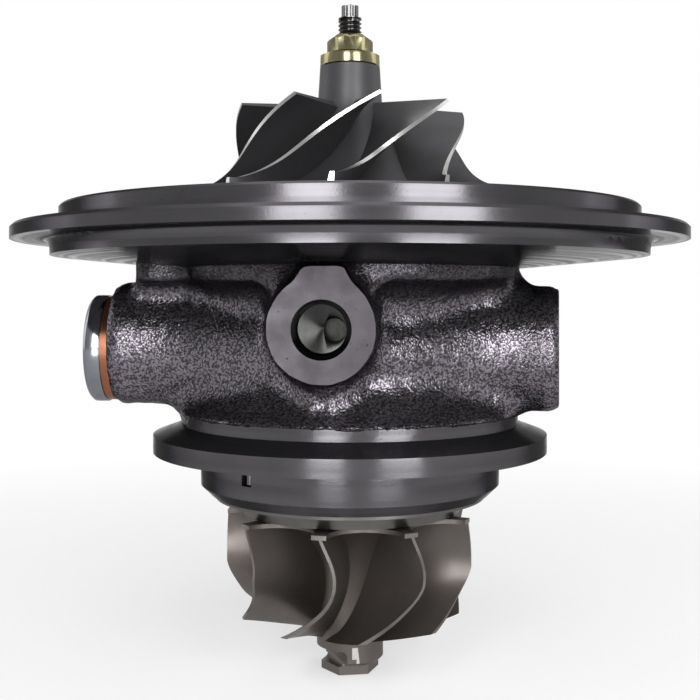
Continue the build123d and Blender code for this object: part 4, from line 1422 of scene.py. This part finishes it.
@dataclass
class ShaftEnd:
    """The rotor shaft with a real thread above the nut.

    Attributes:
        thread_low: Height of the thread's lower end.
        thread_high: Height of its upper end.
        root: Radius at the thread's root.
        crest: Radius at its crest.
        pitch: Height of one turn.
        drop: How much lower the whole thread is set.
        relief: Radius of the cutter that makes room for the thread.
        stem_reach: How far the core under the thread runs past its ends.
    """

    thread_low: float = 138.9 * MM
    thread_high: float = 144.9 * MM
    root: float = 3.3 * MM
    crest: float = 3.98 * MM
    pitch: float = 1.4 * MM
    drop: float = 0.3 * MM
    relief: float = 6.0 * MM
    stem_reach: float = 5.0 * MM

    def build(self, shop: Workshop) -> None:
        """Build and dress the shaft and its thread.

        Args:
            shop: Workshop that hands out finishes.
        """
        shaft = merged_copy("rotor_shaft", "rotor_shaft_dressed")
        low = self.thread_low - self.drop
        high = self.thread_high - self.drop
        relief = upright("thread_relief", self.relief, low, high)
        stem = upright("thread_stem", self.root, low - self.stem_reach, high + self.stem_reach)
        combine(relief, stem, "DIFFERENCE")
        combine(shaft, relief, "DIFFERENCE")
        smooth(shaft, 30)
        shop.dress(shaft, DARK_STEEL)
        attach(shaft, "rotor")
        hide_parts("rotor_shaft")
        margin = self.pitch * 0.25
        turns = (high - low - 2 * margin) / self.pitch
        ridge = thread(
            "shaft_thread",
            self.root,
            self.crest,
            self.pitch,
            turns,
            Matrix.Translation((0, 0, low + margin)),
            steps=48,
        )
        shop.dress(ridge, DARK_STEEL)
        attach(ridge, "rotor")
        report(shaft)
        report(ridge)


@dataclass
class EdgedPiece:
    """A hard piece from the frame whose edges are slightly broken, as real ones are.

    Attributes:
        node: Node of the frame that it replaces.
        body: Body that it rides on.
        slot: Name of its material slot; not used.
        finish: Its finish.
        edge: Width of its broken edges.
    """

    node: str
    body: str
    slot: str
    finish: MetalFinish
    edge: float = 0.2 * MM

    def build(self, shop: Workshop) -> None:
        """Build and dress the piece.

        Args:
            shop: Workshop that hands out finishes.
        """
        piece = merged_copy(self.node, self.node + "_dressed")

        def flatten() -> None:
            """Join the triangles of each flat face."""
            bpy.ops.mesh.dissolve_limited(angle_limit=math.radians(1.0))

        edit(piece, flatten)
        apply_modifier(
            piece,
            "BEVEL",
            width=self.edge,
            segments=2,
            limit_method="ANGLE",
            angle_limit=math.radians(35),
        )
        smooth(piece, 40)
        shop.dress(piece, self.finish)
        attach(piece, self.body)
        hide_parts(self.node)
        report(piece)


@dataclass
class FramePieces:
    """Every node of the frame that stays, with its finish."""

    def build(self, shop: Workshop) -> None:
        """Dress the nodes of the frame.

        Args:
            shop: Workshop that hands out finishes.
        """
        slots = {part["node"]: part["material_slot"] for part in frame["record"]["subparts"]}
        for name, node in frame["nodes"].items():
            finish = NODE_FINISHES[slots[name]]
            node.data.materials.clear()
            node.data.materials.append(shop.material(finish))
            LOG.info("%s: %s", name, finish.name)


# Studio


@dataclass
class SoftBox:
    """A rectangular lamp that faces the object, in degrees, metres and watts.

    Attributes:
        name: Name of the lamp.
        azimuth: Angle from the front towards the right.
        elevation: Angle above level.
        distance: Distance from the point that it faces.
        width: Width of the lamp.
        height: Height of the lamp.
        power: Power of the lamp.
    """

    name: str
    azimuth: float
    elevation: float
    distance: float
    width: float
    height: float
    power: float

    def build(self, target: Vector) -> None:
        """Place the lamp.

        Args:
            target: Point that it faces.
        """
        turn, rise = math.radians(self.azimuth), math.radians(self.elevation)
        away = Vector(
            (math.sin(turn) * math.cos(rise), -math.cos(turn) * math.cos(rise), math.sin(rise))
        )
        lamp = bpy.data.lights.new(self.name, "AREA")
        lamp.shape = "RECTANGLE"
        lamp.size = self.width
        lamp.size_y = self.height
        lamp.energy = self.power
        holder = bpy.data.objects.new(self.name, lamp)
        bpy.context.scene.collection.objects.link(holder)
        holder.visible_camera = False
        holder.location = target + away * self.distance
        holder.rotation_euler = (-away).to_track_quat("-Z", "Y").to_euler()


PHOTO_WIDTH = 700  # pixels


@dataclass
class Studio:
    """Pale floor, white surroundings, soft lamps and the level camera.

    Attributes:
        floor_size: Side of the square floor.
        floor_gap: Gap between the object's lowest point and the floor.
        lamp_target: Height of the point that the lamps face.
        camera_distance: Distance of the camera from the object's axis.
        eye_height: Height of the camera.
        lens: Focal length in millimetres.
        shift: Vertical shift that frames the object as in the photograph.
        ambient: Strength of the world as a lamp.
        room_behind_camera: Share of white that reflections show behind the camera.
        room_start: Depth of the way a reflection looks, from which it gets whiter.
        room_end: Depth from which it is all white.
        white_share: How far the floor is plain white near the object.
        white_start: Distance from the axis where it starts to get whiter.
        white_end: Distance where it is all white.
        lamps: The soft lamps.
    """

    floor_size: float = 6.0
    floor_gap: float = 0.5 * MM
    lamp_target: float = 30.0 * MM
    camera_distance: float = 0.3577
    eye_height: float = 0.050
    lens: float = 54.3
    shift: float = -51 / PHOTO_WIDTH
    ambient: float = 0.15
    room_behind_camera: float = 0.5
    room_start: float = -0.4
    room_end: float = 0.3
    white_share: float = 0.55
    white_start: float = 0.1
    white_end: float = 0.5
    lamps: Sequence[SoftBox] = (
        SoftBox("key", 25.6, 20.0, 0.444, 0.16, 0.28, 1.34),
        SoftBox("key_low", 25.6, -5.0, 0.444, 0.16, 0.1, 0.34),
        SoftBox("front", -12.0, 20.5, 0.408, 0.12, 0.26, 1.05),
        SoftBox("front_low", -12.0, -6.0, 0.408, 0.12, 0.09, 0.24),
        SoftBox("left", -105, 20, 1.2, 0.5, 0.9, 2.0),
        SoftBox("right", 105, 20, 1.2, 0.5, 0.9, 2.0),
        SoftBox("top", 0, 88, 1.2, 0.9, 0.9, 3.0),
        SoftBox("back", 180, 25, 1.3, 0.7, 0.8, 4.0),
    )

    def world(self) -> None:
        """White for the camera and reflections, softer as a lamp."""
        world = bpy.data.worlds.new("studio")
        bpy.context.scene.world = world
        world.use_nodes = True
        line = NodeLine(world.node_tree)
        line.tree.nodes.clear()
        way = line.add("ShaderNodeTexCoord").outputs["Generated"]
        ahead = line.add("ShaderNodeSeparateXYZ", {0: way}).outputs[1]
        room = line.ramp(ahead, self.room_start, self.room_end, self.room_behind_camera, 1.0)
        strength = line.math("MAXIMUM", line.background_rays(room), self.ambient)
        shader = line.add("ShaderNodeBackground", {"Color": colour(1, 1, 1), "Strength": strength})
        line.add("ShaderNodeOutputWorld", {"Surface": shader.outputs[0]})

    def floor(self, height: float) -> None:
        """Pale floor that keeps the object's shadow.

        Args:
            height: Height of the floor, at the object's lowest point.
        """
        deselect()
        bpy.ops.mesh.primitive_grid_add(
            x_subdivisions=4, y_subdivisions=4, size=self.floor_size, location=(0, 0, height)
        )
        floor = bpy.context.view_layer.objects.active
        floor.name = "studio_floor"
        place_applied(floor)
        material = bpy.data.materials.new("pale_floor")
        material.use_nodes = True
        line = NodeLine(material.node_tree)
        line.tree.nodes.clear()
        place = line.add("ShaderNodeTexCoord").outputs["Object"]
        cloud = line.add("ShaderNodeTexNoise", {"Vector": place, "Scale": 3.0, "Detail": 2.0})
        tone = line.mix(cloud.outputs["Fac"], colour(0.92, 0.92, 0.92), colour(0.95, 0.95, 0.95))
        paper = line.add("ShaderNodeBsdfPrincipled", {"Base Color": tone, "Roughness": 0.9})
        away = line.radius(line.add("ShaderNodeSeparateXYZ", {0: place}))
        far = line.ramp(away, self.white_start, self.white_end, self.white_share, 1.0)
        white = line.add("ShaderNodeEmission", {"Color": colour(1, 1, 1), "Strength": 1.0})
        share = line.math("MULTIPLY", far, line.background_rays())
        surfaces = {0: share, 1: paper.outputs[0], 2: white.outputs[0]}
        shader = line.add("ShaderNodeMixShader", surfaces)
        line.add("ShaderNodeOutputMaterial", {"Surface": shader.outputs[0]})
        floor.data.materials.append(material)

    def camera(self) -> None:
        """Level camera in front of the oil inlet."""
        data = bpy.data.cameras.new("front")
        data.lens = self.lens
        data.sensor_width = 36.0
        data.shift_y = self.shift
        data.clip_start = 0.01
        holder = bpy.data.objects.new("front", data)
        bpy.context.scene.collection.objects.link(holder)
        holder.location = (0, -self.camera_distance, self.eye_height)
        holder.rotation_euler = (math.pi / 2, 0, 0)
        bpy.context.scene.camera = holder

    def build(self) -> None:
        """Set the whole studio up."""
        bpy.context.scene.view_settings.view_transform = "Standard"
        self.camera()
        self.world()
        self.floor(CAD_BOX[0].z - self.floor_gap)
        for lamp in self.lamps:
            lamp.build(Vector((0, 0, self.lamp_target)))
        LOG.info("studio with %d lamps", len(self.lamps))


def contour(*points: tuple[float, float]) -> tuple[tuple[float, float], ...]:
    """Outer contour of a wheel's blades, from radii and heights in millimetres."""
    return tuple((radius * MM, height * MM) for radius, height in points)


COMPRESSOR_TIPS = contour(
    (38.4, 113.2), (38.4, 103.0), (40.4, 93.3), (45.0, 88.9), (51.85, 87.1), (51.85, 79.0)
)
TURBINE_TIPS = contour((41.4, -20.8), (41.4, -37.8), (40.2, -41.6), (38.4, -46.0), (36.7, -55.3))
BALANCE_MARKS = (
    (Vector((-2.3, -12.5, -72.0)) * MM, Vector((3.0, -9.0, -70.7)) * MM),
    (Vector((0.7, -12.0, -68.4)) * MM, Vector((2.6, -10.75, -64.6)) * MM),
)


def main() -> None:
    """Build every sub-assembly in order."""
    logging.basicConfig(level=logging.INFO, format="%(name)s %(message)s")
    shop = Workshop()
    studio = Studio()
    studio.build()
    FramePieces().build(shop)
    BearingHousing().build(shop)
    Wheel(
        "compressor_wheel", "compressor_alloy", WHEEL_BLADE, WHEEL_TIP, COMPRESSOR_TIPS
    ).build(shop)
    Wheel(
        "turbine_wheel", "turbine_alloy", TURBINE_BLADE, TURBINE_TIP, TURBINE_TIPS, BALANCE_MARKS
    ).build(shop)
    ShaftEnd().build(shop)
    EdgedPiece("compressor_nut", "rotor", "yellow_zinc", YELLOW_ZINC).build(shop)
    EdgedPiece("water_plug", "housing", "bright_zinc", BRIGHT_ZINC, 0.3 * MM).build(shop)


if __name__ == "__main__":
    main()
